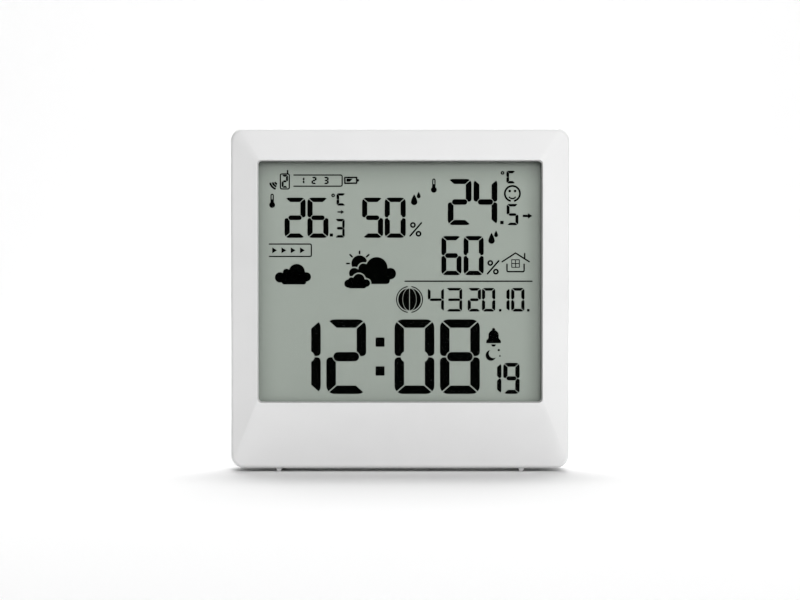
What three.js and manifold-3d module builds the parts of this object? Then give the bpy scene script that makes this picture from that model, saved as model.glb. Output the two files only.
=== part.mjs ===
// Digital weather station that stands on a table: a moulded front frame round a segment display,
// a board behind it, and a moulded rear shell with a battery bay, a wall keyhole and a fold-out leg.
// Millimetres, +Z up. The front faces -Y, and the origin is the middle of the base on the table.
// Inside the station group y is the depth behind the front frame's rim.
import * as THREE from "three";
import { mergeVertices } from "three/addons/utils/BufferGeometryUtils.js";
import Module from "manifold-3d";

const wasm = await Module();
wasm.setup();

// Outer body, seen from the front
const bodyWidth = 120;
const bodyHeight = 120.6;
const cornerRadius = 4.5;
const footHeight = 1.2;
const footWidth = 1.6;
const footLength = 5;
const footInset = 17;
const footSetback = 1;
const footDraft = 0.2;

// Front frame
const sideBorder = 9.8;
const topBorder = 11.6;
const bottomBorder = 23.6;
const windowCorner = 1.3;
const windowDraft = 0.3;
const rimBreak = 0.25;
const slopeDrop = 2.6;
const edgeRadius = 1.5;
const edgeStart = THREE.MathUtils.degToRad(12);
const skirtDraft = 0.3;
const frontWall = 2.2;
const pocketRib = 1;

// Fits and clearances
const fitGap = 0.3;
const filmGap = 0.05;
const seatGap = 0.2;

// Overlap where two solids of one moulding are joined, and the run-out of a cutting tool
const weld = 0.4;
const runOut = 1;

// Display stack, from the front
const lensThickness = 1.2;
const filmThickness = 0.2;
const glassThickness = 0.7;
const glassOverlap = 1.2;
const contactLedge = 2.6;
const holderThickness = 2.1;
const holderRail = 6;
const zebraWidth = 1.6;
const boardThickness = 1.2;

// Screw heads, as shares of the head or the shaft
const headEdgeShare = 0.55;
const headCrownShare = 0.7;
const crossReachShare = 0.6;
const crossWidthShare = 0.3;

// Board and its screws
const postRadius = 2.2;
const postOffset = 4.4;
const postInset = 11;
const boardScrewRadius = 0.9;
const boardScrewHead = 1.7;
const boardScrewHeadHeight = 1.3;
const boardScrewBite = 4;

// Case screws and the towers that they join
const towerInset = 9.8;
const towerRadius = 2.5;
const tubeRadius = 3.3;
const caseScrewRadius = 1.2;
const caseScrewHead = 2.1;
const caseScrewHeadHeight = 1.5;
const caseScrewFloor = 2.4;
const caseScrewBite = 5.5;

// Rear shell
const caseWall = 2;
const rearWall = 2;
const shadowStep = 0.4;
const rearDraft = 0.7;
const rearRadius = 2.5;
const rearCornerTaper = 0.6;
const tongueThickness = 1.2;
const partingBehindBoard = 2.6;

// Cells and their bay
const cellRadius = 5.25;
const cellLength = 44.5;
const nubRadius = 1.9;
const nubLength = 1;
const cellSpacing = 0.8;
const bayWall = 1.2;
const boardToBay = 2;
const bayTop = 25;
const contactThickness = 0.4;
const contactWidth = 8;
const springLength = 3;
const springWire = 0.25;
const springFoot = 3.6;
const springTip = 1.6;
const springTurns = 3;
const springSunk = 0.1;
const tailWidth = 3;
const tailReach = 0.9;
const leadRadius = 0.5;
const leadSpan = 5.4;
const leadDrop = 7;

// Battery door
const doorThickness = 2;
const doorOverlap = 2.6;
const doorRadius = 2;
const tongueWidth = 6;
const tongueReach = 2;
const tonguePlace = 16.4;
const doorLedge = 1.5;
const latchWidth = 12;
const latchLength = 8;
const latchSlit = 0.8;
const thumbDipWidth = 8.4;
const thumbDipDepth = 0.9;
const thumbDipDrop = 4;

// Fold-out leg
const legThickness = 3;
const legTopHalf = 17;
const legFootHalf = 13;
const legFootMargin = 10;
const legBelowBay = 9;
const legSunk = 0.4;
const legSide = 0.5;
const legCorner = 3;
const legShoulder = 6;
const legWall = 2.4;
const legHollowLow = 9;
const legHollowTop = 5;
const legRibWidth = 1.4;
const gripCount = 3;
const gripRadius = 0.5;
const gripPitch = 1.6;
const gripMargin = 2.6;
const gripInset = 4;
const barrelRadius = 1.6;
const pivotRadius = 1.1;
const pivotLength = 2.2;
const panWall = 3;
const panFloor = 1.4;
const scoopRadius = 7.8;
const scoopRise = 2.5;
const scoopDepth = 0.8;

// Buttons, keys and their switches
const buttonInset = 15;
const buttonPitch = 12;
const buttonTop = 27;
const buttonRows = 3;
const buttonHalf = 4.6;
const buttonRadius = 2.8;
const buttonPocket = 1.2;
const buttonProud = 1;
const buttonFloor = 2.2;
const buttonLip = 1;
const buttonPadMargin = 3.4;
const buttonBreak = 0.35;
const keyTravel = 0.5;
const switchSize = 6;
const switchHeight = 3.5;
const plungerRadius = 1.5;
const plungerHeight = 5;
const switchFloor = 0.5;
const topSwitchOut = 4.6;
const topSwitchDrop = 2.4;
const topPlungerProud = 1.5;
const snoozeHalf = 17;
const snoozeRadius = 2.75;
const snoozeProud = 0.4;
const snoozeBehindParting = 6.5;
const snoozeStemWidth = 3.2;
const snoozeStemDepth = 2.4;
const snoozeArmHeight = 1.4;
const snoozeArmReach = 1.2;

// Wall keyhole, vents and sounder holes
const keyholeDrop = 14.3;
const keyholeHead = 4.5;
const keyholeNeck = 2.1;
const keyholeRise = 5.5;
const ventCount = 6;
const ventLength = 12;
const ventWidth = 1.4;
const ventPitch = 3;
const ventBottom = 18;
const sounderHole = 0.9;
const sounderRing = 3.6;
const sounderCount = 6;
const sounderHeight = 26;

// Parts on the board
const buzzerRadius = 6;
const buzzerHeight = 8.5;
const buzzerEdge = 0.6;
const buzzerHole = 1;
const buzzerHoleDepth = 2;
const blobRadius = 7;
const blobHeight = 1.5;
const crystalRadius = 1.5;
const crystalLength = 8;
const crystalLegRadius = 0.22;
const crystalLegSpread = 0.7;
const crystalLegLength = 2;
const capacitorRadius = 3.15;
const capacitorHeight = 9;
const capacitorGroove = 0.3;
const capacitorBead = 0.5;
const sensorWidth = 8;
const sensorHeight = 12;
const sensorDepth = 5.5;
const sensorFrame = 1.2;
const sensorSlots = 4;
const sensorSlotWidth = 1;
const sensorSlotDepth = 1.5;
const receiverWidth = 26;
const receiverHeight = 12;
const receiverThickness = 0.8;
const receiverLift = 2.5;
const receiverPins = 4;
const pinPitch = 2.54;
const pinWidth = 0.6;
const pinInset = 3;
const pinRise = 1.5;
const shieldWidth = 8;
const shieldHeight = 2.4;
const shieldMargin = 2;
const antennaRadius = 0.4;
const antennaLength = 44;
const antennaInset = 1.5;
const antennaBow = 1;

// Where they stand: across from the middle or in from an end, and up from the lowest ones
const blobRise = 14;
const crystalAcross = 14;
const crystalRise = 8;
const capacitorAcross = 24;
const capacitorRise = 20;
const receiverInset = 12.5;
const receiverRise = 16;
const buzzerInset = 2;
const sensorInset = 1;

// Outlines seen from the front
const body = {
  left: -bodyWidth / 2,
  right: bodyWidth / 2,
  bottom: footHeight,
  top: footHeight + bodyHeight,
};
const window = {
  left: body.left + sideBorder,
  right: body.right - sideBorder,
  bottom: body.bottom + bottomBorder,
  top: body.top - topBorder,
};
const windowBack = grow(window, -windowDraft);
const rearGlass = grow(windowBack, glassOverlap);
const frontGlass = { ...rearGlass, bottom: rearGlass.bottom - contactLedge };
const pocket = grow(frontGlass, fitGap);

// Depths behind the rim
const lensFront = frontWall + seatGap;
const lensBack = lensFront + lensThickness;
const polariserFront = lensBack + fitGap;
const frontGlassFront = polariserFront + filmThickness + filmGap;
const frontGlassBack = frontGlassFront + glassThickness;
const rearGlassFront = frontGlassBack + filmGap;
const rearGlassBack = rearGlassFront + glassThickness;
const reflectorFront = rearGlassBack + filmGap;
const reflectorBack = reflectorFront + filmThickness;
const holderFront = reflectorBack + fitGap;
const holderBack = holderFront + holderThickness;
const boardFront = holderBack + fitGap;
const boardBack = boardFront + boardThickness;
const partingDepth = boardBack + partingBehindBoard;
const bayFront = boardBack + boardToBay;
const cellOffset = cellRadius + cellSpacing / 2;
const cellDepth = bayFront + bayWall + fitGap + cellRadius;
const doorFront = cellDepth + cellRadius + fitGap;
const bodyDepth = doorFront + doorThickness;
const rearInside = bodyDepth - rearWall;

// Places
const postX = pocket.right - postInset;
const postLow = pocket.bottom - postOffset;
const postHigh = pocket.top + postOffset;
const towerX = pocket.right + towerRadius + fitGap + seatGap;
const towerLow = body.bottom + towerInset;
const towerHigh = body.top - towerInset;
const tongueStart = boardBack + boardScrewHeadHeight + fitGap;
const towerMeet = tongueStart - fitGap;
const headSeat = towerMeet + fitGap + caseScrewFloor;
const bayHalfHeight = cellOffset + cellRadius + fitGap + seatGap;
const bayCentre = body.top - bayTop - bayHalfHeight;
const contactSpace = seatGap + contactThickness;
const bayHalfLength = (cellLength + springLength + 2 * (contactSpace + fitGap)) / 2;
const bay = {
  left: -bayHalfLength,
  right: bayHalfLength,
  bottom: bayCentre - bayHalfHeight,
  top: bayCentre + bayHalfHeight,
};
const door = grow(bay, doorOverlap);
const pivotHeight = door.bottom - legBelowBay;
const pivotDepth = bodyDepth - legSunk - legThickness / 2;
const legFoot = body.bottom + legFootMargin;
const recessFloor = bodyDepth - legSunk - legThickness - legSunk;
const buttonX = body.right - buttonInset;
const keyholeHeight = body.top - keyholeDrop;
const snoozeDepth = partingDepth + snoozeBehindParting;
const topPlungerTop = postHigh - topSwitchDrop;
const topSwitchTop = topPlungerTop - topPlungerProud;
const topSwitchLow = topSwitchTop - switchHeight;
const board = {
  left: -(pocket.right - fitGap - seatGap),
  right: pocket.right - fitGap - seatGap,
  bottom: postLow - postRadius - fitGap,
  top: postHigh + postRadius,
};

// Finishes
const whiteShell = new THREE.MeshStandardMaterial({ color: 0xf1f1ef, roughness: 0.45, metalness: 0 });
const clearPlastic = new THREE.MeshStandardMaterial({
  color: 0xf4f7f4,
  roughness: 0.06,
  metalness: 0,
  transparent: true,
  opacity: 0.2,
});
const polariserFilm = new THREE.MeshStandardMaterial({ color: 0x9aa296, roughness: 0.4, metalness: 0 });
const displayGlass = new THREE.MeshStandardMaterial({ color: 0xa8b0a4, roughness: 0.08, metalness: 0 });
const silverFilm = new THREE.MeshStandardMaterial({ color: 0xc3c8c0, roughness: 0.35, metalness: 0.4 });
const blackPlastic = new THREE.MeshStandardMaterial({ color: 0x232426, roughness: 0.5, metalness: 0 });
const zebraRubber = new THREE.MeshStandardMaterial({ color: 0x4a4c50, roughness: 0.8, metalness: 0 });
const boardLaminate = new THREE.MeshStandardMaterial({ color: 0x1f5a3a, roughness: 0.5, metalness: 0 });
const blackEpoxy = new THREE.MeshStandardMaterial({ color: 0x17181a, roughness: 0.3, metalness: 0 });
const plainSteel = new THREE.MeshStandardMaterial({ color: 0xb9bcc0, roughness: 0.35, metalness: 1 });
const nickelSteel = new THREE.MeshStandardMaterial({ color: 0xcfd0cd, roughness: 0.25, metalness: 1 });
const capacitorSleeve = new THREE.MeshStandardMaterial({ color: 0x27304f, roughness: 0.4, metalness: 0 });
const sensorPlastic = new THREE.MeshStandardMaterial({ color: 0xe8e8e2, roughness: 0.5, metalness: 0 });
const keyPlastic = new THREE.MeshStandardMaterial({ color: 0xe6e6e4, roughness: 0.4, metalness: 0 });
const cellSleeve = new THREE.MeshStandardMaterial({ color: 0x3f6b4c, roughness: 0.35, metalness: 0.2 });
const redSleeve = new THREE.MeshStandardMaterial({ color: 0xb3241f, roughness: 0.5, metalness: 0 });
const blackSleeve = new THREE.MeshStandardMaterial({ color: 0x1d1d1f, roughness: 0.5, metalness: 0 });
const copperWire = new THREE.MeshStandardMaterial({ color: 0xb87346, roughness: 0.35, metalness: 1 });

function grow(outline, by) {
  return {
    left: outline.left - by,
    right: outline.right + by,
    bottom: outline.bottom - by,
    top: outline.top + by,
  };
}

// A closed geometry as a solid that can be joined and cut. Triangles that shrink to a line at a
// turned form's axis are left out.
function toSolid(geometry) {
  geometry.deleteAttribute("normal");
  geometry.deleteAttribute("uv");
  const merged = mergeVertices(geometry, 1e-4);
  const corners = merged.index.array;
  const triangles = [];
  for (let i = 0; i < corners.length; i += 3) {
    const [a, b, c] = corners.slice(i, i + 3);
    if (a !== b && b !== c && c !== a) triangles.push(a, b, c);
  }
  return new wasm.Manifold(
    new wasm.Mesh({
      numProp: 3,
      vertProperties: merged.attributes.position.array,
      triVerts: new Uint32Array(triangles),
    }),
  );
}

function toGeometry(solid) {
  const mesh = solid.getMesh();
  const indexed = new THREE.BufferGeometry();
  indexed.setAttribute("position", new THREE.BufferAttribute(mesh.vertProperties, mesh.numProp));
  indexed.setIndex(new THREE.BufferAttribute(mesh.triVerts, 1));
  const geometry = indexed.toNonIndexed();
  geometry.computeVertexNormals();
  return geometry;
}

function join(...solids) {
  return solids.reduce((whole, next) => whole.add(next));
}

function cut(solid, ...tools) {
  return tools.reduce((rest, tool) => rest.subtract(tool), solid);
}

function block(xLow, xHigh, yLow, yHigh, zLow, zHigh) {
  const geometry = new THREE.BoxGeometry(xHigh - xLow, yHigh - yLow, zHigh - zLow);
  geometry.translate((xLow + xHigh) / 2, (yLow + yHigh) / 2, (zLow + zHigh) / 2);
  return toSolid(geometry);
}

function slab(outline, yLow, yHigh) {
  return block(outline.left, outline.right, yLow, yHigh, outline.bottom, outline.top);
}

// Round bars along each axis.
function rodY(radius, yLow, yHigh, x, z, sides = 20) {
  const geometry = new THREE.CylinderGeometry(radius, radius, yHigh - yLow, sides);
  geometry.translate(x, (yLow + yHigh) / 2, z);
  return toSolid(geometry);
}

function rodX(radius, xLow, xHigh, y, z, sides = 24) {
  const geometry = new THREE.CylinderGeometry(radius, radius, xHigh - xLow, sides);
  geometry.rotateZ(-Math.PI / 2);
  geometry.translate((xLow + xHigh) / 2, y, z);
  return toSolid(geometry);
}

function rodZ(radius, zLow, zHigh, x, y, sides = 24) {
  const geometry = new THREE.CylinderGeometry(radius, radius, zHigh - zLow, sides);
  geometry.rotateX(Math.PI / 2);
  geometry.translate(x, y, (zLow + zHigh) / 2);
  return toSolid(geometry);
}

// A drawn outline in x and z, pulled along y.
function extrudeY(shape, yLow, yHigh, curveSegments = 6) {
  const options = { depth: yHigh - yLow, bevelEnabled: false, curveSegments };
  const geometry = new THREE.ExtrudeGeometry(shape, options);
  geometry.rotateX(Math.PI / 2);
  geometry.translate(0, yHigh, 0);
  return toSolid(geometry);
}

// A drawn outline in x and y, pulled along z.
function extrudeZ(shape, zLow, zHigh, curveSegments = 6) {
  const options = { depth: zHigh - zLow, bevelEnabled: false, curveSegments };
  const geometry = new THREE.ExtrudeGeometry(shape, options);
  geometry.translate(0, 0, zLow);
  return toSolid(geometry);
}

function roundedShape(outline, radius) {
  const { left, right, bottom, top } = outline;
  const shape = new THREE.Shape();
  shape.absarc(right - radius, bottom + radius, radius, -Math.PI / 2, 0);
  shape.absarc(right - radius, top - radius, radius, 0, Math.PI / 2);
  shape.absarc(left + radius, top - radius, radius, Math.PI / 2, Math.PI);
  shape.absarc(left + radius, bottom + radius, radius, Math.PI, 1.5 * Math.PI);
  shape.closePath();
  return shape;
}

function roundedSlab(outline, radius, yLow, yHigh) {
  return extrudeY(roundedShape(outline, radius), yLow, yHigh);
}

// A bar with round ends, long in x, drawn round a centre.
function pillShape(half, radius, x, y) {
  const shape = new THREE.Shape();
  shape.absarc(x + half - radius, y, radius, -Math.PI / 2, Math.PI / 2);
  shape.absarc(x - half + radius, y, radius, Math.PI / 2, 1.5 * Math.PI);
  shape.closePath();
  return shape;
}

function pillSlab(half, radius, x, z, yLow, yHigh) {
  return extrudeY(pillShape(half, radius, x, z), yLow, yHigh, 5);
}

// Rounded rectangle at one depth, counter-clockwise seen from the front.
function ring(outline, radius, y) {
  const steps = 6;
  const corners = [
    [outline.right - radius, outline.bottom + radius],
    [outline.right - radius, outline.top - radius],
    [outline.left + radius, outline.top - radius],
    [outline.left + radius, outline.bottom + radius],
  ];
  return corners.flatMap(([x, z], corner) =>
    Array.from({ length: steps + 1 }, (_, step) => {
      const angle = (corner - 1 + step / steps) * (Math.PI / 2);
      return new THREE.Vector3(x + radius * Math.cos(angle), y, z + radius * Math.sin(angle));
    }),
  );
}

// Skin through rings that run back on the outside. A closed loft ends on its first ring;
// an open one is capped at both ends.
function loft(rings, closed) {
  const count = rings[0].length;
  const indices = [];
  const spans = closed ? rings.length : rings.length - 1;
  for (let span = 0; span < spans; span++) {
    const here = span * count;
    const next = ((span + 1) % rings.length) * count;
    for (let i = 0; i < count; i++) {
      const j = (i + 1) % count;
      indices.push(here + i, next + j, here + j);
      indices.push(here + i, next + i, next + j);
    }
  }
  if (!closed) {
    const last = (rings.length - 1) * count;
    for (let i = 1; i < count - 1; i++) {
      indices.push(0, i, i + 1);
      indices.push(last, last + i + 1, last + i);
    }
  }
  const geometry = new THREE.BufferGeometry();
  const positions = rings.flat().flatMap((point) => point.toArray());
  geometry.setAttribute("position", new THREE.Float32BufferAttribute(positions, 3));
  geometry.setIndex(indices);
  return toSolid(geometry);
}

// A turned form about an axis along y: profile points are radius and depth.
function turned(profile, x, z, sides = 24) {
  const points = profile.map(([radius, depth]) => new THREE.Vector2(radius, depth));
  const geometry = new THREE.LatheGeometry(points, sides);
  geometry.translate(x, 0, z);
  return toSolid(geometry);
}

// A round wire along a curve.
function wire(curve, radius, steps, sides) {
  const section = new THREE.Shape();
  for (let side = 0; side < sides; side++) {
    const angle = (2 * Math.PI * side) / sides;
    const x = radius * Math.cos(angle);
    const y = radius * Math.sin(angle);
    if (side === 0) section.moveTo(x, y);
    else section.lineTo(x, y);
  }
  section.closePath();
  return toSolid(new THREE.ExtrudeGeometry(section, { steps, extrudePath: curve, bevelEnabled: false }));
}

// Feet are short tapered ribs moulded under both shells.
function foot(x, yLow, yHigh, root) {
  const shape = new THREE.Shape();
  const tip = footWidth / 2;
  const base = tip + root * footDraft;
  shape.moveTo(x - tip, 0);
  shape.lineTo(x + tip, 0);
  shape.lineTo(x + base, root);
  shape.lineTo(x - base, root);
  shape.closePath();
  return extrudeY(shape, yLow, yHigh);
}

function corners(x, low, high) {
  return [
    [-x, low],
    [x, low],
    [-x, high],
    [x, high],
  ];
}

function frontBezel() {
  const outer = grow(body, -skirtDraft);
  const edgeSteps = 4;
  const rings = [ring(grow(window, rimBreak), windowCorner + rimBreak, 0)];
  for (let step = 0; step <= edgeSteps; step++) {
    const angle = edgeStart + (Math.PI / 2 - edgeStart) * (step / edgeSteps);
    const inset = edgeRadius * (1 - Math.sin(angle));
    const depth = slopeDrop + edgeRadius * (Math.cos(edgeStart) - Math.cos(angle));
    rings.push(ring(grow(outer, -inset), cornerRadius - inset, depth));
  }
  const inside = grow(body, -frontWall);
  const insideRadius = Math.max(cornerRadius - frontWall, edgeRadius);
  rings.push(ring(body, cornerRadius, partingDepth));
  rings.push(ring(inside, insideRadius, partingDepth));
  rings.push(ring(grow(inside, -skirtDraft), insideRadius, slopeDrop + frontWall));
  rings.push(ring(pocket, windowCorner, frontWall));
  rings.push(ring(windowBack, windowCorner, frontWall));
  rings.push(ring(window, windowCorner, rimBreak));
  const shell = loft(rings, true);

  const inWall = frontWall / 2;
  const rib = cut(
    slab(grow(pocket, pocketRib), inWall, frontGlassBack),
    slab(pocket, 0, frontGlassBack + runOut),
  );
  const towers = corners(towerX, towerLow, towerHigh).map(([x, z]) =>
    rodY(towerRadius, frontWall, towerMeet, x, z),
  );
  const posts = corners(postX, postLow, postHigh).map(([x, z]) =>
    rodY(postRadius, frontWall, boardFront - seatGap, x, z, 16),
  );
  const towerPilots = corners(towerX, towerLow, towerHigh).map(([x, z]) =>
    rodY(caseScrewRadius + seatGap, towerMeet - caseScrewBite - fitGap, towerMeet + runOut, x, z, 12),
  );
  const postPilots = corners(postX, postLow, postHigh).map(([x, z]) =>
    rodY(boardScrewRadius + seatGap, boardFront - boardScrewBite - fitGap, boardFront + runOut, x, z, 12),
  );
  const footLow = slopeDrop + edgeRadius + footSetback;
  const feet = [-1, 1].map((side) =>
    foot(side * (body.right - footInset), footLow, footLow + footLength, body.bottom + frontWall / 2),
  );
  return cut(join(shell, rib, ...towers, ...posts, ...feet), ...towerPilots, ...postPilots);
}

function displayWindow() {
  return roundedSlab(frontGlass, windowCorner, lensFront, lensBack);
}

function lcdHolder() {
  const outline = { ...pocket, bottom: pocket.bottom - pocketRib };
  const middle = (windowBack.bottom + windowBack.top) / 2;
  const opening = grow(windowBack, -holderRail + glassOverlap);
  const half = holderRail / 2;
  const low = holderFront - runOut;
  const high = holderBack + runOut;
  const lower = { ...opening, top: middle - half };
  const upper = { ...opening, bottom: middle + half };
  return cut(
    roundedSlab(outline, windowCorner, holderFront, holderBack),
    roundedSlab(lower, edgeRadius, low, high),
    roundedSlab(upper, edgeRadius, low, high),
    slab(grow(zebraOutline(), seatGap), low, high),
  );
}

function zebraOutline() {
  const middle = frontGlass.bottom + contactLedge / 2;
  return {
    left: windowBack.left,
    right: windowBack.right,
    bottom: middle - zebraWidth / 2,
    top: middle + zebraWidth / 2,
  };
}

function mainBoard() {
  const holes = corners(postX, postLow, postHigh).map(([x, z]) =>
    rodY(boardScrewRadius + fitGap, boardFront - runOut, boardBack + runOut, x, z, 16),
  );
  return cut(roundedSlab(board, edgeRadius, boardFront, boardBack), ...holes);
}

// A pan-head screw that points to the front, with its head's seat at the given depth.
function screw(shaftRadius, headRadius, headHeight, seat, reach) {
  const shaft = rodY(shaftRadius, seat - reach, seat + headHeight / 2, 0, 0, 10);
  const head = turned(
    [
      [0, seat],
      [headRadius, seat],
      [headRadius, seat + headHeight * headEdgeShare],
      [headRadius * headCrownShare, seat + headHeight],
      [0, seat + headHeight],
    ],
    0,
    0,
    14,
  );
  const slotHalf = shaftRadius * crossWidthShare;
  const slotLong = headRadius * crossReachShare;
  const slotFloor = seat + headHeight * headEdgeShare;
  const slotTop = seat + headHeight + runOut;
  const slots = [
    block(-slotLong, slotLong, slotFloor, slotTop, -slotHalf, slotHalf),
    block(-slotHalf, slotHalf, slotFloor, slotTop, -slotLong, slotLong),
  ];
  return cut(join(shaft, head), ...slots);
}

function chipBlob() {
  const profile = [[0, boardBack + filmGap]];
  const steps = 5;
  for (let step = 0; step <= steps; step++) {
    const angle = (step / steps) * (Math.PI / 2);
    profile.push([blobRadius * Math.cos(angle), boardBack + filmGap + blobHeight * Math.sin(angle)]);
  }
  profile[profile.length - 1][0] = 0;
  return turned(profile, 0, 0, 20);
}

function clockCrystal() {
  const depth = boardBack + filmGap + crystalRadius;
  const can = rodZ(crystalRadius, 0, crystalLength, 0, depth, 16);
  const legs = [-1, 1].map((side) =>
    rodZ(crystalLegRadius, -crystalLegLength, weld, side * crystalLegSpread, depth, 6),
  );
  return join(can, ...legs);
}

function smoothingCapacitor() {
  const low = boardBack + filmGap;
  const high = low + capacitorHeight;
  const waist = capacitorRadius - capacitorGroove;
  return turned(
    [
      [0, low],
      [capacitorRadius, low],
      [capacitorRadius, low + 2 * capacitorBead],
      [waist, low + 3 * capacitorBead],
      [capacitorRadius, low + 4 * capacitorBead],
      [capacitorRadius, high - capacitorBead],
      [waist, high],
      [0, high],
    ],
    0,
    0,
  );
}

function buzzer() {
  const low = boardBack + filmGap;
  const high = low + buzzerHeight;
  const can = turned(
    [
      [0, low],
      [buzzerRadius, low],
      [buzzerRadius, high - buzzerEdge],
      [buzzerRadius - buzzerEdge, high],
      [0, high],
    ],
    0,
    0,
    28,
  );
  return cut(can, rodY(buzzerHole, high - buzzerHoleDepth, high + runOut, 0, 0, 12));
}

// A small open-fronted shell whose slots let the room's air in.
function climateSensor() {
  const low = boardBack + filmGap;
  const high = low + sensorDepth;
  const half = sensorWidth / 2;
  const shell = block(-half, half, low, high, -sensorHeight / 2, sensorHeight / 2);
  const slotHalf = half - sensorFrame;
  const slots = Array.from({ length: sensorSlots }, (_, slot) => {
    const middle = ((slot + 1) / (sensorSlots + 1) - 0.5) * sensorHeight;
    return block(
      -slotHalf,
      slotHalf,
      high - sensorSlotDepth,
      high + runOut,
      middle - sensorSlotWidth / 2,
      middle + sensorSlotWidth / 2,
    );
  });
  return cut(shell, ...slots);
}

// A small board that stands on its row of pins, with a shield can over the radio.
function receiverBoard() {
  const low = boardBack + filmGap;
  const plateLow = low + receiverLift;
  const middle = plateLow + receiverThickness / 2;
  const plate = block(0, receiverWidth, plateLow, plateLow + receiverThickness, 0, receiverHeight);
  const pins = Array.from({ length: receiverPins }, (_, pin) => {
    const x = pinInset + pin * pinPitch;
    const half = pinWidth / 2;
    return block(x - half, x + half, low, middle, pinRise - half, pinRise + half);
  });
  const shieldRight = receiverWidth - 2 * shieldMargin;
  const shield = block(
    shieldRight - shieldWidth,
    shieldRight,
    middle,
    middle + shieldHeight,
    shieldMargin,
    receiverHeight - shieldMargin,
  );
  return join(plate, shield, ...pins);
}

// A wire that stands up from the receiver and bows back a little.
function receiverAntenna() {
  const depth = boardBack + receiverLift + receiverThickness + 2 * antennaRadius;
  const curve = new THREE.QuadraticBezierCurve3(
    new THREE.Vector3(0, depth, 0),
    new THREE.Vector3(-antennaBow, depth + antennaBow, antennaLength / 2),
    new THREE.Vector3(0, depth, antennaLength),
  );
  return wire(curve, antennaRadius, 12, 8);
}

// Push switch with its plunger along +Y; both stand on the board's back face.
function switchBody() {
  const low = boardBack + filmGap;
  const half = switchSize / 2;
  const shell = block(-half, half, low, low + switchHeight, -half, half);
  const bore = rodY(plungerRadius + fitGap, low + switchFloor, low + switchHeight + runOut, 0, 0, 12);
  return cut(shell, bore);
}

function switchPlunger() {
  const low = boardBack + filmGap;
  const foot = low + switchFloor + fitGap + keyTravel;
  return rodY(plungerRadius, foot, low + plungerHeight, 0, 0, 12);
}

// Angled push switch for the top key: its plunger points up from a body on the board's back face.
function topSwitchBody() {
  const low = boardBack + filmGap;
  const half = switchSize / 2;
  const shell = block(-half, half, low, low + topSwitchOut + half, topSwitchLow, topSwitchTop);
  const centre = boardBack + topSwitchOut;
  const floor = topSwitchLow + switchFloor;
  const bore = rodZ(plungerRadius + fitGap, floor, topSwitchTop + runOut, 0, centre, 16);
  return cut(shell, bore);
}

function topSwitchPlunger() {
  const low = topSwitchLow + switchFloor + fitGap + keyTravel;
  return rodZ(plungerRadius, low, topPlungerTop, 0, boardBack + topSwitchOut, 16);
}

function button() {
  const outside = bodyDepth - buttonPocket + buttonProud;
  const lipBack = bodyDepth - buttonPocket - buttonFloor - fitGap;
  const plungerTop = boardBack + filmGap + plungerHeight;
  const crown = pillSlab(buttonHalf, buttonRadius, 0, 0, lipBack - weld, outside - buttonBreak);
  const topHalf = buttonHalf - buttonBreak;
  const topRadius = buttonRadius - buttonBreak;
  const face = pillSlab(topHalf, topRadius, 0, 0, outside - buttonBreak - weld, outside);
  const lipHalf = buttonHalf + buttonLip;
  const lip = pillSlab(lipHalf, buttonRadius + buttonLip, 0, 0, lipBack - buttonLip, lipBack);
  const stem = rodY(plungerRadius, plungerTop + fitGap, lipBack - weld, 0, 0, 12);
  return join(crown, face, lip, stem);
}

// The key's stem stands behind the switch, and an arm from its foot lies over the plunger.
function snoozeKey() {
  const wallTop = body.top - shadowStep - rearDraft / 2;
  const lipTop = body.top - shadowStep - caseWall - rearDraft - fitGap;
  const capHalf = snoozeHalf - fitGap;
  const capRadius = snoozeRadius - fitGap;
  const capShape = pillShape(capHalf, capRadius, 0, snoozeDepth);
  const lipShape = pillShape(capHalf + buttonLip, capRadius + buttonLip, 0, snoozeDepth);
  const cap = extrudeZ(capShape, lipTop - weld, wallTop + snoozeProud, 8);
  const lip = extrudeZ(lipShape, lipTop - buttonLip, lipTop, 8);
  const stemLow = topPlungerTop + fitGap;
  const half = snoozeStemWidth / 2;
  const armFront = boardBack + topSwitchOut - snoozeArmReach;
  const stem = block(-half, half, snoozeDepth - snoozeStemDepth, snoozeDepth, stemLow, lipTop - weld);
  const arm = block(-half, half, armFront, snoozeDepth, stemLow, stemLow + snoozeArmHeight);
  return join(cap, lip, stem, arm);
}

function cell() {
  const half = cellLength / 2;
  const can = rodX(cellRadius, -half, half - nubLength, 0, 0, 28);
  const nub = rodX(nubRadius, half - nubLength - weld, half, 0, 0, 16);
  return join(can, nub);
}

// A cone of wire that runs from its plate to the cell's flat end, along +X from 0.
class SpringCurve extends THREE.Curve {
  getPoint(t, target = new THREE.Vector3()) {
    const radius = springFoot + (springTip - springFoot) * t;
    const angle = 2 * Math.PI * springTurns * t;
    return target.set(springLength * t, radius * Math.cos(angle), radius * Math.sin(angle));
  }
}

// The least distance between the surfaces of neighbouring turns.
function springGap() {
  const curve = new SpringCurve();
  const steps = springTurns * 24;
  const points = Array.from({ length: steps + 1 }, (_, step) => curve.getPoint(step / steps));
  let least = Infinity;
  for (let a = 0; a < points.length; a++)
    for (let b = a + 16; b < points.length; b++) least = Math.min(least, points[a].distanceTo(points[b]));
  return least - 2 * springWire;
}

// Contact plates stand on end in the bay. Local x points from the plate to the cell, and z is
// measured along the plate from the middle of the bay.
function contactPlate(zLow, zHigh) {
  const half = contactWidth / 2;
  return block(-contactThickness, 0, cellDepth - half, cellDepth + half, zLow - half, zHigh + half);
}

function contactTail(z) {
  const half = tailWidth / 2;
  return block(-contactThickness, 0, bayFront - tailReach, cellDepth, z - half, z + half);
}

function contactSpring(z) {
  const coil = wire(new SpringCurve(), springWire, springTurns * 8, 5);
  return coil.translate([-springSunk, cellDepth, z]);
}

function positiveContact(z) {
  return join(contactPlate(z, z), contactTail(z));
}

function negativeContact(z) {
  return join(contactPlate(z, z), contactSpring(z), contactTail(z));
}

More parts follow.
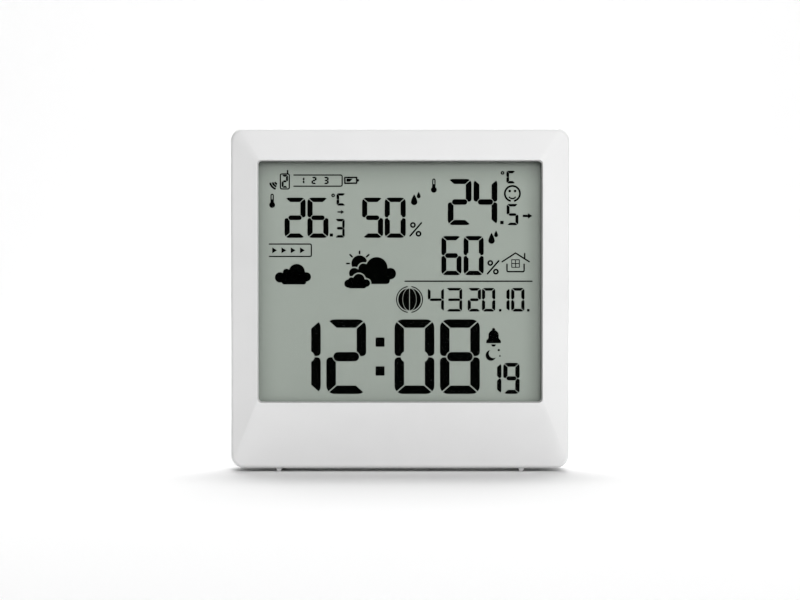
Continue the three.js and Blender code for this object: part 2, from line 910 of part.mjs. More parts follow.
function linkContact(springZ) {
  return join(contactPlate(-cellOffset, cellOffset), contactSpring(springZ));
}

// A short lead that starts beside a contact's tail, lies over the board and bends down.
function lead(x, z) {
  const depth = boardBack + leadRadius + fitGap;
  const curve = new THREE.QuadraticBezierCurve3(
    new THREE.Vector3(x, depth, z),
    new THREE.Vector3(x + leadSpan, depth, z),
    new THREE.Vector3(x + leadSpan, depth, z - leadDrop),
  );
  return wire(curve, leadRadius, 10, 8);
}

// The door's two tongues, or their notches in the shell when grown.
function doorTongues(by, yLow, yHigh, zHigh) {
  const half = tongueWidth / 2 + by;
  const low = door.bottom - tongueReach - by;
  return [-tonguePlace, tonguePlace].map((x) => block(x - half, x + half, yLow, yHigh, low, zHigh));
}

function batteryDoor() {
  const panel = roundedSlab(door, doorRadius, doorFront, bodyDepth);
  const tongues = doorTongues(0, doorFront, doorFront + doorThickness / 2, door.bottom + weld);
  const slits = [-1, 1].map((side) => {
    const middle = side * (latchWidth / 2 + latchSlit / 2);
    return block(
      middle - latchSlit / 2,
      middle + latchSlit / 2,
      doorFront - runOut,
      bodyDepth + runOut,
      door.top - latchLength,
      door.top + runOut,
    );
  });
  const dipHalf = thumbDipWidth / 2;
  const dipAxis = bodyDepth + latchWidth - thumbDipDepth;
  const thumbDip = rodX(latchWidth, -dipHalf, dipHalf, dipAxis, door.top - thumbDipDrop, 40);
  return cut(join(panel, ...tongues), ...slits, thumbDip);
}

// Outline of the leg, or of its recess when grown, from the pivot down to the foot.
function legShape(by, top) {
  const shape = new THREE.Shape();
  const low = legFoot - by;
  const footHalf = legFootHalf + by;
  const topHalf = legTopHalf + by;
  const radius = legCorner + by;
  const shoulder = pivotHeight - legShoulder;
  shape.moveTo(topHalf, top);
  shape.lineTo(-topHalf, top);
  shape.lineTo(-topHalf, shoulder);
  shape.lineTo(-footHalf, low + radius);
  shape.absarc(-footHalf + radius, low + radius, radius, Math.PI, 1.5 * Math.PI);
  shape.absarc(footHalf - radius, low + radius, radius, 1.5 * Math.PI, 2 * Math.PI);
  shape.lineTo(topHalf, shoulder);
  shape.closePath();
  return shape;
}

// The leg is a shallow tray with a rib along its middle and grip grooves across its foot.
function tableStand() {
  const outer = bodyDepth - legSunk;
  const inner = outer - legThickness;
  const trayFloor = inner + legThickness / 2;
  const panel = extrudeY(legShape(0, pivotHeight), inner, outer);
  const tray = {
    left: -legFootHalf + legWall,
    right: legFootHalf - legWall,
    bottom: legFoot + legHollowLow,
    top: pivotHeight - legHollowTop,
  };
  const hollow = roundedSlab(tray, edgeRadius, inner - runOut, trayFloor);
  const ribHalf = legRibWidth / 2;
  const rib = block(-ribHalf, ribHalf, inner, trayFloor + weld, tray.bottom - weld, tray.top + weld);
  const barrel = rodX(barrelRadius, -legTopHalf, legTopHalf, pivotDepth, pivotHeight, 20);
  const pinEnd = legTopHalf + pivotLength;
  const pins = rodX(pivotRadius, -pinEnd, pinEnd, pivotDepth, pivotHeight, 16);
  const gripHalf = legFootHalf - gripInset;
  const grips = Array.from({ length: gripCount }, (_, row) =>
    rodX(gripRadius, -gripHalf, gripHalf, outer, legFoot + gripMargin + gripPitch * row, 8),
  );
  return cut(join(cut(panel, hollow), rib, barrel, pins), ...grips);
}

function caseShell() {
  const outerFront = grow(body, -shadowStep);
  const outerBack = grow(outerFront, -rearDraft);
  const outerRadius = cornerRadius - shadowStep;
  const inner = grow(outerFront, -caseWall);
  const innerRadius = Math.max(outerRadius - caseWall, 1);
  const tongueOuter = grow(body, -frontWall - fitGap);
  const tongueInner = grow(tongueOuter, -tongueThickness);
  const shoulder = partingDepth + seatGap;
  const rings = [
    ring(grow(inner, -rearDraft), innerRadius, rearInside),
    ring(inner, innerRadius, shoulder + tongueThickness + caseWall),
    ring(tongueInner, innerRadius, shoulder + tongueThickness),
    ring(tongueInner, innerRadius, tongueStart),
    ring(tongueOuter, innerRadius, tongueStart),
    ring(tongueOuter, innerRadius, shoulder),
    ring(outerFront, outerRadius, shoulder),
  ];
  const edgeSteps = 4;
  for (let step = 0; step <= edgeSteps; step++) {
    const angle = (step / edgeSteps) * (Math.PI / 2);
    const inset = rearRadius * (1 - Math.cos(angle));
    const depth = bodyDepth - rearRadius + rearRadius * Math.sin(angle);
    rings.push(ring(grow(outerBack, -inset), outerRadius - inset * rearCornerTaper, depth));
  }
  return loft(rings, false);
}

function keyholeTools() {
  const low = rearInside - runOut;
  const high = bodyDepth + runOut;
  const neckTop = keyholeHeight + keyholeRise;
  return [
    rodY(keyholeHead, low, high, 0, keyholeHeight, 28),
    block(-keyholeNeck, keyholeNeck, low, high, keyholeHeight, neckTop),
    rodY(keyholeNeck, low, high, 0, neckTop, 16),
  ];
}

function ventTools() {
  return Array.from({ length: ventCount }, (_, row) =>
    pillSlab(
      ventLength / 2,
      ventWidth / 2,
      -buttonX,
      body.bottom + ventBottom + row * ventPitch,
      rearInside - runOut,
      bodyDepth + runOut,
    ),
  );
}

function sounderTools() {
  const z = body.bottom + sounderHeight;
  const low = rearInside - runOut;
  const high = bodyDepth + runOut;
  const holes = [rodY(sounderHole, low, high, buttonX, z, 8)];
  for (let hole = 0; hole < sounderCount; hole++) {
    const angle = (2 * Math.PI * hole) / sounderCount;
    const x = buttonX + sounderRing * Math.cos(angle);
    holes.push(rodY(sounderHole, low, high, x, z + sounderRing * Math.sin(angle), 8));
  }
  return holes;
}

function buttonPlaces() {
  const places = [];
  for (const side of [-1, 1])
    for (let row = 0; row < buttonRows; row++)
      places.push([side * buttonX, body.top - buttonTop - row * buttonPitch]);
  return places;
}

function rearCase() {
  const deep = bodyDepth + runOut;
  const inWall = rearInside + weld;

  const tubes = corners(towerX, towerLow, towerHigh).map(([x, z]) =>
    rodY(tubeRadius, tongueStart, inWall, x, z),
  );
  const bayBlock = slab(grow(bay, bayWall), bayFront, inWall);
  const doorSeat = slab(grow(door, tongueReach + fitGap + bayWall), doorFront - doorLedge, inWall);
  const panLow = recessFloor - panFloor - scoopDepth;
  const pan = extrudeY(
    legShape(legSide + panWall, pivotHeight + barrelRadius + legSunk + panWall),
    panLow,
    inWall,
  );
  const scoopHeight = legFoot - legSide + scoopRise;
  const scoopPan = rodY(scoopRadius + panFloor, panLow, inWall, 0, scoopHeight);
  const buttonPads = [-1, 1].map((side) => {
    const top = body.top - buttonTop;
    const pad = {
      left: side * buttonX - buttonHalf - buttonPadMargin,
      right: side * buttonX + buttonHalf + buttonPadMargin,
      bottom: top - (buttonRows - 1) * buttonPitch - buttonRadius - buttonPadMargin,
      top: top + buttonRadius + buttonPadMargin,
    };
    const outside = grow(pad, buttonLip);
    const outsideRadius = buttonPadMargin + buttonLip;
    return {
      solid: roundedSlab(outside, outsideRadius, bodyDepth - buttonPocket - buttonFloor, inWall),
      pocket: roundedSlab(pad, buttonPadMargin, bodyDepth - buttonPocket, deep),
    };
  });
  const rearFootLow = bodyDepth - rearRadius - footSetback - footLength;
  const feet = [-1, 1].map((side) =>
    foot(
      side * (body.right - footInset),
      rearFootLow,
      rearFootLow + footLength,
      body.bottom + shadowStep + rearDraft + caseWall / 2,
    ),
  );
  const solid = join(
    caseShell(),
    ...tubes,
    bayBlock,
    doorSeat,
    pan,
    scoopPan,
    ...buttonPads.map((pad) => pad.solid),
    ...feet,
  );

  const counterbores = corners(towerX, towerLow, towerHigh).map(([x, z]) =>
    rodY(caseScrewHead + fitGap, headSeat - seatGap, deep, x, z),
  );
  const screwHoles = corners(towerX, towerLow, towerHigh).map(([x, z]) =>
    rodY(caseScrewRadius + fitGap, towerMeet, headSeat + runOut, x, z, 16),
  );
  const troughs = [-1, 1].map((side) =>
    rodX(cellRadius + fitGap, bay.left, bay.right, cellDepth, bayCentre + side * cellOffset, 32),
  );
  const bayMouth = slab(bay, cellDepth, deep);
  const endSpace = contactSpace + fitGap + springLength;
  const endPockets = [-1, 1].map((side) =>
    block(
      side > 0 ? bay.right - endSpace : bay.left,
      side > 0 ? bay.right : bay.left + endSpace,
      cellDepth - contactWidth / 2 - fitGap,
      deep,
      bay.bottom,
      bay.top,
    ),
  );
  const tailSlots = [-1, 1].map((side) =>
    block(
      bay.right - contactSpace - fitGap,
      bay.right,
      bayFront - runOut,
      cellDepth,
      bayCentre + side * cellOffset - tailWidth / 2 - fitGap,
      bayCentre + side * cellOffset + tailWidth / 2 + fitGap,
    ),
  );
  const doorRest = doorFront - filmGap;
  const doorMouth = roundedSlab(grow(door, fitGap), doorRadius + fitGap, doorRest, deep);
  const tongueNotches = doorTongues(fitGap, doorRest, deep, door.bottom);
  const recess = extrudeY(legShape(legSide, pivotHeight + barrelRadius + legSunk), recessFloor, deep);
  const scoop = rodY(scoopRadius, recessFloor - scoopDepth, deep, 0, scoopHeight);
  const pivotHoles = rodX(
    pivotRadius + fitGap,
    -legTopHalf - pivotLength - fitGap,
    legTopHalf + pivotLength + fitGap,
    pivotDepth,
    pivotHeight,
    16,
  );
  const buttonHoles = buttonPlaces().map(([x, z]) =>
    pillSlab(buttonHalf + fitGap, buttonRadius + fitGap, x, z, rearInside - buttonFloor - runOut, deep),
  );
  const snoozeSlot = extrudeZ(
    pillShape(snoozeHalf, snoozeRadius, 0, snoozeDepth),
    body.top - shadowStep - rearDraft - caseWall - runOut,
    body.top + runOut,
    8,
  );
  return cut(
    solid,
    ...counterbores,
    ...screwHoles,
    ...troughs,
    bayMouth,
    ...endPockets,
    ...tailSlots,
    doorMouth,
    ...tongueNotches,
    recess,
    scoop,
    pivotHoles,
    ...buttonPads.map((pad) => pad.pocket),
    ...buttonHoles,
    snoozeSlot,
    ...keyholeTools(),
    ...ventTools(),
    ...sounderTools(),
  );
}

console.log(`least gap between spring turns ${springGap().toFixed(2)} mm`);

const station = new THREE.Group();
station.position.y = -bodyDepth / 2;

function addPiece(parent, name, solid, material, x = 0, y = 0, z = 0) {
  const mesh = new THREE.Mesh(toGeometry(solid), material);
  mesh.name = name;
  mesh.position.set(x, y, z);
  parent.add(mesh);
  return mesh;
}

function addHousing() {
  const housing = new THREE.Group();
  addPiece(housing, "front_bezel", frontBezel(), whiteShell);
  addPiece(housing, "rear_case", rearCase(), whiteShell);
  addPiece(housing, "battery_door", batteryDoor(), whiteShell);
  addPiece(housing, "table_stand", tableStand(), whiteShell);
  const caseScrew = screw(
    caseScrewRadius,
    caseScrewHead,
    caseScrewHeadHeight,
    headSeat,
    headSeat - towerMeet + caseScrewBite,
  );
  corners(towerX, towerLow, towerHigh).forEach(([x, z], index) =>
    addPiece(housing, `case_screw_${index + 1}`, caseScrew, plainSteel, x, 0, z),
  );
  station.add(housing);
}

function addDisplay() {
  const display = new THREE.Group();
  const film = grow(windowBack, glassOverlap / 2);
  addPiece(display, "display_window", displayWindow(), clearPlastic);
  addPiece(
    display,
    "lcd_front_polariser",
    slab(film, polariserFront, polariserFront + filmThickness),
    polariserFilm,
  );
  addPiece(display, "lcd_front_glass", slab(frontGlass, frontGlassFront, frontGlassBack), displayGlass);
  addPiece(display, "lcd_rear_glass", slab(rearGlass, rearGlassFront, rearGlassBack), displayGlass);
  addPiece(display, "lcd_reflector", slab(rearGlass, reflectorFront, reflectorBack), silverFilm);
  addPiece(display, "lcd_holder", lcdHolder(), blackPlastic);
  addPiece(
    display,
    "zebra_strip",
    slab(zebraOutline(), frontGlassBack + filmGap, boardFront - filmGap),
    zebraRubber,
  );
  station.add(display);
}

function addBoard() {
  const electronics = new THREE.Group();
  const lowParts = body.bottom + sounderHeight;
  addPiece(electronics, "main_board", mainBoard(), boardLaminate);
  const boardScrew = screw(
    boardScrewRadius,
    boardScrewHead,
    boardScrewHeadHeight,
    boardBack + filmGap,
    boardScrewBite + boardThickness,
  );
  corners(postX, postLow, postHigh).forEach(([x, z], index) =>
    addPiece(electronics, `board_screw_${index + 1}`, boardScrew, plainSteel, x, 0, z),
  );
  const place = (name, solid, material, across, rise) =>
    addPiece(electronics, name, solid, material, across, 0, lowParts + rise);
  place("chip_blob", chipBlob(), blackEpoxy, 0, blobRise);
  place("clock_crystal", clockCrystal(), nickelSteel, crystalAcross, crystalRise);
  place("smoothing_capacitor", smoothingCapacitor(), capacitorSleeve, capacitorAcross, capacitorRise);
  place("buzzer", buzzer(), blackPlastic, buttonX - buzzerInset, 0);
  place("climate_sensor", climateSensor(), sensorPlastic, sensorInset - buttonX, 0);
  const receiver = new THREE.Group();
  receiver.position.set(board.left + receiverInset, 0, lowParts + receiverRise);
  const antennaFoot = receiverHeight - antennaInset;
  addPiece(receiver, "receiver_board", receiverBoard(), boardLaminate);
  addPiece(receiver, "receiver_antenna", receiverAntenna(), copperWire, antennaInset, 0, antennaFoot);
  electronics.add(receiver);
  station.add(electronics);
}

function addControls() {
  const controls = new THREE.Group();
  buttonPlaces().forEach(([x, z], index) => {
    const key = new THREE.Group();
    key.position.set(x, 0, z);
    addPiece(key, `switch_body_${index + 1}`, switchBody(), blackPlastic);
    addPiece(key, `switch_plunger_${index + 1}`, switchPlunger(), sensorPlastic);
    addPiece(key, `button_${index + 1}`, button(), keyPlastic);
    controls.add(key);
  });
  const last = 2 * buttonRows + 1;
  addPiece(controls, `switch_body_${last}`, topSwitchBody(), blackPlastic);
  addPiece(controls, `switch_plunger_${last}`, topSwitchPlunger(), sensorPlastic);
  addPiece(controls, "snooze_key", snoozeKey(), keyPlastic);
  station.add(controls);
}

function addPower() {
  const power = new THREE.Group();
  power.position.z = bayCentre;
  const shift = springLength / 2;
  addPiece(power, "battery_upper", cell(), cellSleeve, shift, cellDepth, cellOffset);
  const lower = addPiece(power, "battery_lower", cell(), cellSleeve, -shift, cellDepth, -cellOffset);
  lower.rotation.y = Math.PI;

  const leftEnd = new THREE.Group();
  leftEnd.position.x = bay.left + contactSpace;
  addPiece(leftEnd, "link_contact", linkContact(cellOffset), nickelSteel);
  power.add(leftEnd);

  const rightEnd = new THREE.Group();
  rightEnd.position.x = bay.right - contactSpace;
  rightEnd.rotation.y = Math.PI;
  addPiece(rightEnd, "positive_contact", positiveContact(-cellOffset), nickelSteel);
  addPiece(rightEnd, "negative_contact", negativeContact(cellOffset), nickelSteel);
  power.add(rightEnd);

  const leadStart = bay.right - seatGap + fitGap;
  addPiece(power, "lead_positive", lead(leadStart, cellOffset), redSleeve);
  addPiece(power, "lead_negative", lead(leadStart, -cellOffset), blackSleeve);
  station.add(power);
}

addHousing();
addDisplay();
addBoard();
addControls();
addPower();

const weatherStation = new THREE.Group();
weatherStation.add(station);

export default weatherStation;
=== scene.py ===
import math

import bmesh
import bpy
from bpy.props import FloatProperty, FloatVectorProperty, IntProperty, PointerProperty
from mathutils import Matrix, Vector


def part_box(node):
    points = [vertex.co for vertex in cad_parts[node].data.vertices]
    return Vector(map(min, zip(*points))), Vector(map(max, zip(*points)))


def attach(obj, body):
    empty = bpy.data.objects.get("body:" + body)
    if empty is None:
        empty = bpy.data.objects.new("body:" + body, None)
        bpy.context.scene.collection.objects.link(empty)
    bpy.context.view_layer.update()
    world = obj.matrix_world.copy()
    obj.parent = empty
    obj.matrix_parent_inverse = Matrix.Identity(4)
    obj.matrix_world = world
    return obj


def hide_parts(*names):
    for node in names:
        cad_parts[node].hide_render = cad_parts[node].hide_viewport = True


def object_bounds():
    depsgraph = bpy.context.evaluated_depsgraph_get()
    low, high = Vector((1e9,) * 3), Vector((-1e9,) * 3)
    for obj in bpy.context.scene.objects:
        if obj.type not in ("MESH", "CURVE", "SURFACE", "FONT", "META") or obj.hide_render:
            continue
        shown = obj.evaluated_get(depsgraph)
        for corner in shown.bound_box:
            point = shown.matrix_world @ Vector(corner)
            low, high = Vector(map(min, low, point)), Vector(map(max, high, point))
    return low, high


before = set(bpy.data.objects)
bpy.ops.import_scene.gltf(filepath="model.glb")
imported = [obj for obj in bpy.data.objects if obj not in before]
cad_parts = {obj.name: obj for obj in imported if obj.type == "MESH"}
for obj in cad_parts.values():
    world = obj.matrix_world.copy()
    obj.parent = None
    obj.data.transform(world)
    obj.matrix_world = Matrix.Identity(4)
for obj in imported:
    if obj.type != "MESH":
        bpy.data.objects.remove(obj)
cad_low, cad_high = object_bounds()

bl_info = {
    "name": "Weather station",
    "version": (1, 0, 0),
    "blender": (4, 5, 0),
    "location": "3D View > Sidebar > Station",
    "description": "Dresses a table weather station: shells, segment display, keys, battery bay, studio",
    "category": "Object",
}

MM = 0.001
UP_RIGHT = Matrix.Rotation(math.radians(90), 4, "X")
FLAT = Matrix.Identity(4)
HOUSING = "housing"
WINDOW_RADIUS = 1.3 * MM

# Front feet: place to either side of the middle, and ends behind the rim
FOOT_X, FOOT_FRONT, FOOT_BACK = 43 * MM, 5.1 * MM, 10.1 * MM

# Bars of a segment digit: a top, b and c right, d bottom, e and f left, g middle
BARS = {
    "0": "abcdef",
    "1": "bc",
    "2": "abged",
    "3": "abgcd",
    "4": "fgbc",
    "5": "afgcd",
    "6": "afgedc",
    "8": "abcdefg",
    "9": "abfgcd",
    "C": "afed",
}


def linear(hex_colour):
    """An sRGB hex value as linear red, green and blue, with full alpha."""
    shares = [int(hex_colour[i : i + 2], 16) / 255 for i in (1, 3, 5)]
    return tuple(s / 12.92 if s <= 0.04045 else ((s + 0.055) / 1.055) ** 2.4 for s in shares) + (1.0,)


# Settings that a user would change


class StationBody(bpy.types.PropertyGroup):
    side_border: FloatProperty(
        name="Side border", description="Frame width beside the window", default=9.8 * MM, unit="LENGTH"
    )
    top_border: FloatProperty(
        name="Top border", description="Frame width above the window", default=11.6 * MM, unit="LENGTH"
    )
    bottom_border: FloatProperty(
        name="Bottom border", description="Frame width below the window", default=23.6 * MM, unit="LENGTH"
    )
    slope_drop: FloatProperty(
        name="Slope drop", description="How far the frame falls back to its edges",
        default=2.6 * MM, unit="LENGTH",
    )
    corner_radius: FloatProperty(
        name="Corner radius", description="Corners of the body seen from the front",
        default=4.5 * MM, unit="LENGTH",
    )
    edge_radius: FloatProperty(
        name="Edge radius", description="Rounding between slope and side", default=1.5 * MM, unit="LENGTH"
    )
    foot_height: FloatProperty(
        name="Foot height", description="How far the feet hold the body up", default=1.2 * MM, unit="LENGTH"
    )
    corner_steps: IntProperty(name="Corner steps", description="Faces round each corner", default=14, min=2)
    shell_colour: FloatVectorProperty(
        name="Shell", description="White of both shells", subtype="COLOR", size=4, default=linear("#E1E1E1")
    )
    key_colour: FloatVectorProperty(
        name="Keys", description="Buttons and top key", subtype="COLOR", size=4, default=linear("#D6D6D5")
    )


class StationDisplay(bpy.types.PropertyGroup):
    film_colour: FloatVectorProperty(
        name="Film", description="Unlit display", subtype="COLOR", size=4, default=linear("#B1BAB1")
    )
    ink_colour: FloatVectorProperty(
        name="Signs", description="Lit signs", subtype="COLOR", size=4, default=linear("#020302")
    )
    sign_thickness: FloatProperty(
        name="Sign thickness", description="How far signs stand off the film",
        default=0.06 * MM, unit="LENGTH",
    )
    bar_gap: FloatProperty(
        name="Bar gap", description="Gap between the bars of a digit", default=0.42 * MM, unit="LENGTH"
    )
    sign_scale: FloatProperty(
        name="Sign scale", description="Real millimetres for each one of the sign layout", default=0.9926
    )
    layout_middle: FloatVectorProperty(
        name="Layout middle", description="Point of the sign layout straight before the camera, in mm",
        size=2, default=(0.1, 86.54),
    )


class StationStudio(bpy.types.PropertyGroup):
    camera_distance: FloatProperty(
        name="Camera distance", description="From the rim to the camera", default=1.0, unit="LENGTH"
    )
    camera_height: FloatProperty(
        name="Camera height", description="Above the table", default=86.0 * MM, unit="LENGTH"
    )
    picture_middle: FloatProperty(
        name="Picture middle", description="Height on the rim that the camera looks at",
        default=61.0 * MM, unit="LENGTH",
    )
    pixels_per_mm: FloatProperty(
        name="Picture scale", description="Picture pixels for a millimetre of the rim", default=2.84
    )
    floor_size: FloatProperty(name="Floor", description="Side of the table sweep", default=8.0, unit="LENGTH")
    key_power: FloatProperty(name="Key light", description="Softbox on the right", default=8.9, unit="POWER")
    front_power: FloatProperty(
        name="Front light", description="Softbox beside and above the camera", default=28.7, unit="POWER"
    )
    back_power: FloatProperty(
        name="Back light", description="Softbox high behind, which draws the shadow forwards",
        default=12.5, unit="POWER",
    )
    wall_power: FloatProperty(
        name="Wall light", description="Softbox for the backdrop", default=43.2, unit="POWER"
    )
    air_strength: FloatProperty(
        name="Room light", description="Weak white light from all round", default=0.15
    )
    exposure: FloatProperty(name="Exposure", description="Picture brightness in stops", default=0.0)


# Nodes and materials


def add_node(tree, kind, inputs=None, output=0, **settings):
    """Adds a shader node with its settings, and its inputs set to values or linked to sockets.
    Gives back one of its output sockets."""
    node = tree.nodes.new(kind)
    for name, value in settings.items():
        setattr(node, name, value)
    for socket, value in (inputs or {}).items():
        if isinstance(value, bpy.types.NodeSocket):
            tree.links.new(value, node.inputs[socket])
        else:
            node.inputs[socket].default_value = value
    return node.outputs[output] if node.outputs else None


def new_material(name):
    """An empty material, its tree and the place on the object that its patterns read."""
    material = bpy.data.materials.new(name)
    material.use_nodes = True
    material.node_tree.nodes.clear()
    return material, material.node_tree, add_node(material.node_tree, "ShaderNodeTexCoord", output="Object")


def finish_material(tree, sockets):
    shader = add_node(tree, "ShaderNodeBsdfPrincipled", sockets)
    add_node(tree, "ShaderNodeOutputMaterial", {"Surface": shader})


def every(millimetres):
    """Texture scale at which a pattern's lumps are the given size."""
    return 1 / (millimetres * MM)


def shade(colour, share):
    return tuple(c * share for c in colour[:3]) + (1.0,)


# Noise lies mostly between these, so ranges are read from here to there
NOISE_RANGE = {"From Min": 0.3, "From Max": 0.7}
BUMP_STRENGTH = 0.5


def two_tone(
    name, tones, sockets, pattern, gloss=None, relief=0, mapping=None, kind="ShaderNodeTexNoise", **settings
):
    """A finish with one pattern, which runs between two tones and, where gloss is given, between two
    values of roughness. relief is the pattern's depth in mm, and mapping stretches or turns it."""
    material, tree, places = new_material(name)
    if mapping:
        places = add_node(tree, "ShaderNodeMapping", {"Vector": places, **mapping})
    drawn = add_node(tree, kind, {"Vector": places, **pattern}, "Fac", **settings)
    low, high = tones
    made = {"Base Color": add_node(tree, "ShaderNodeMix", {0: drawn, 6: low, 7: high}, 2, data_type="RGBA")}
    if gloss:
        ends = {"Value": drawn, "To Min": gloss[0], "To Max": gloss[1]}
        made["Roughness"] = add_node(tree, "ShaderNodeMapRange", ends)
    if relief:
        raised = {"Height": drawn, "Distance": relief * MM, "Strength": BUMP_STRENGTH}
        made["Normal"] = add_node(tree, "ShaderNodeBump", raised)
    finish_material(tree, {**made, **sockets})
    return material


def moulded(name, colour, roughness, skin_size, skin_depth, cloud=0.02):
    """Moulded plastic. roughness is a low and a high value; the skin is the tool's grain, with its
    size and depth in mm; cloud is how much the colour drifts with the flow of the melt."""
    material, tree, places = new_material(name)
    flow = add_node(tree, "ShaderNodeTexNoise", {"Vector": places, "Scale": every(14), "Detail": 1.0})
    drift = add_node(tree, "ShaderNodeMapRange", {"Value": flow, **NOISE_RANGE})
    tones = {0: drift, 6: shade(colour, 1 - cloud), 7: colour}
    pigment = add_node(tree, "ShaderNodeMix", tones, output=2, data_type="RGBA")
    skin = add_node(tree, "ShaderNodeTexNoise", {"Vector": places, "Scale": every(skin_size), "Detail": 2.0})
    ends = {"Value": skin, **NOISE_RANGE, "To Min": roughness[0], "To Max": roughness[1]}
    gloss = add_node(tree, "ShaderNodeMapRange", ends)
    raised = {"Height": skin, "Distance": skin_depth * MM, "Strength": BUMP_STRENGTH}
    relief = add_node(tree, "ShaderNodeBump", raised)
    finish_material(tree, {"Base Color": pigment, "Roughness": gloss, "Normal": relief, "IOR": 1.53})
    return material


def satin_abs(colour):
    """White ABS from a finely blasted tool: wide soft highlights. The tool's grain is about 0.1 mm;
    it is drawn three times as coarse so that it shows."""
    return moulded("satin_moulded_abs", colour, (0.40, 0.48), 0.3, 0.008)


def spark_abs(colour):
    """White ABS from a spark-eroded tool, as rear shells have: an even pebbled matt. Its pebbles
    are about 0.4 mm, drawn at 0.6 mm."""
    return moulded("spark_grained_abs", colour, (0.50, 0.62), 0.6, 0.035, 0.03)


def key_abs(colour):
    """Polished ABS keys: a tighter highlight than the shell, with slight sink waves."""
    return moulded("polished_key_abs", colour, (0.28, 0.34), 5, 0.03)


def dull_plastic(name, colour):
    """Small inner moulding with an even fine grain."""
    return moulded(name, linear(colour), (0.45, 0.55), 0.4, 0.015, 0.08)


def glossy_plastic(name, colour):
    """Sleeve or potting with a smooth, slightly wavy skin."""
    return moulded(name, linear(colour), (0.2, 0.28), 1.5, 0.02, 0.06)


def clear_acrylic():
    """Clear acrylic window: all but unseen from the front, mirror-like at a low angle."""
    material, tree, places = new_material("clear_acrylic")
    facing = add_node(tree, "ShaderNodeLayerWeight", {"Blend": 0.35}, output="Facing")
    veil = add_node(tree, "ShaderNodeMapRange", {"Value": facing, "To Min": 0.02, "To Max": 0.75})
    # Polishing waves, 9 mm apart
    waves = add_node(tree, "ShaderNodeTexNoise", {"Vector": places, "Scale": every(9)})
    gloss = add_node(tree, "ShaderNodeMapRange", {"Value": waves, "To Min": 0.01, "To Max": 0.05})
    finish_material(tree, {"Base Color": linear("#101312"), "Roughness": gloss, "Alpha": veil, "IOR": 1.49})
    return material


def display_film(colour, opening):
    """Matt polariser over a silvered reflector: grey-green with a fine metallic speckle. Painted shade
    darkens it beside the window's rim, standing in for the rim's shadow on the layers behind it, most at the
    top, less at the right and least at the left; opening gives the left, right and top of the window."""
    material, tree, places = new_material("matt_polariser_film")
    # The reflector's speckle is 0.25 mm; the film's tone drifts over 45 mm
    speckle = add_node(tree, "ShaderNodeTexNoise", {"Vector": places, "Scale": every(0.25), "Detail": 3.0})
    tone = add_node(tree, "ShaderNodeTexNoise", {"Vector": places, "Scale": every(45), "Detail": 0.0})
    tones = {0: tone, 6: shade(colour, 0.97), 7: shade(colour, 1.01)}
    green = add_node(tree, "ShaderNodeMix", tones, output=2, data_type="RGBA")
    tones = {0: speckle, 6: green, 7: shade(colour, 1.05)}
    silvery = add_node(tree, "ShaderNodeMix", tones, output=2, data_type="RGBA")
    # The painted rim shade: how far it reaches from the rim in mm, and how much it darkens there
    left, right, top = opening
    for axis, rim, reach, share in (("X", left, 8, 0.26), ("X", right, -8, 0.44), ("Z", top, -11, 0.58)):
        along = add_node(tree, "ShaderNodeSeparateXYZ", {0: places}, output=axis)
        span = {"Value": along, "From Min": rim + reach * MM, "From Max": rim}
        near = add_node(tree, "ShaderNodeMapRange", span)
        fall = add_node(tree, "ShaderNodeMath", {0: near, 1: 2.0}, operation="POWER")
        painted_rim_shade = add_node(tree, "ShaderNodeMath", {0: fall, 1: share}, operation="MULTIPLY")
        # Painted shade: mixes the film towards a dark grey-green near the rim
        tones = {0: painted_rim_shade, 6: silvery, 7: linear("#161816")}
        silvery = add_node(tree, "ShaderNodeMix", tones, output=2, data_type="RGBA")
    gloss = add_node(tree, "ShaderNodeMapRange", {"Value": speckle, "To Min": 0.4, "To Max": 0.5})
    finish_material(tree, {"Base Color": silvery, "Roughness": gloss, "IOR": 1.5, "Specular IOR Level": 0.2})
    return material


def display_ink(colour):
    """Lit liquid crystal between crossed polarisers: a flat near black with no gloss of its own."""
    sockets = {"Roughness": 0.55, "IOR": 1.5, "Specular IOR Level": 0.0}
    return two_tone(
        "lit_crystal_black", (shade(colour, 0.7), shade(colour, 1.3)), sockets, {"Scale": every(0.3)}
    )


def display_glass():
    """Float glass with a faint green in its thickness, and ripples 20 mm apart."""
    tones = linear("#A9BDAE"), linear("#B4C6B8")
    sockets = {"Alpha": 0.55, "IOR": 1.52}
    return two_tone("display_glass", tones, sockets, {"Scale": every(20)}, gloss=(0.03, 0.07))


def rolled_metal(name, colour, along, roughness):
    """Rolled, drawn or plated metal with fine lines along one axis. The lines are 0.08 mm apart,
    drawn at 0.2 mm so that they show."""
    tone = linear(colour)
    stretch = Vector((every(0.2), every(0.2), every(0.2)))
    stretch[along] = every(4)
    return two_tone(
        name, (shade(tone, 0.8), tone), {"Metallic": 1.0}, {"Scale": 1.0},
        gloss=(roughness, roughness + 0.15), mapping={"Scale": stretch},
    )


def solder_mask():
    """Green solder mask over copper tracks, which show as lighter, raised lines of 0.5 mm in
    courses 1.6 mm apart."""
    courses = {"Scale": 1.0, "Mortar Size": 0.25 * MM, "Brick Width": 11 * MM, "Row Height": 1.6 * MM}
    return two_tone(
        "solder_mask_board", (linear("#17492F"), linear("#2C6B43")), {"Roughness": 0.32, "IOR": 1.55},
        courses, relief=0.05, mapping={"Rotation": (math.radians(90), 0, 0)}, kind="ShaderNodeTexBrick",
    )


def striped_rubber():
    """Connector rubber: carbon and clear layers in turn. A pair is 0.1 mm, drawn at 0.3 mm."""
    return two_tone(
        "layered_connector_rubber", (linear("#1B1B1D"), linear("#6E6F73")), {},
        {"Scale": every(0.3) / (2 * math.pi)}, gloss=(0.55, 0.75), kind="ShaderNodeTexWave",
        wave_type="BANDS", bands_direction="X",
    )


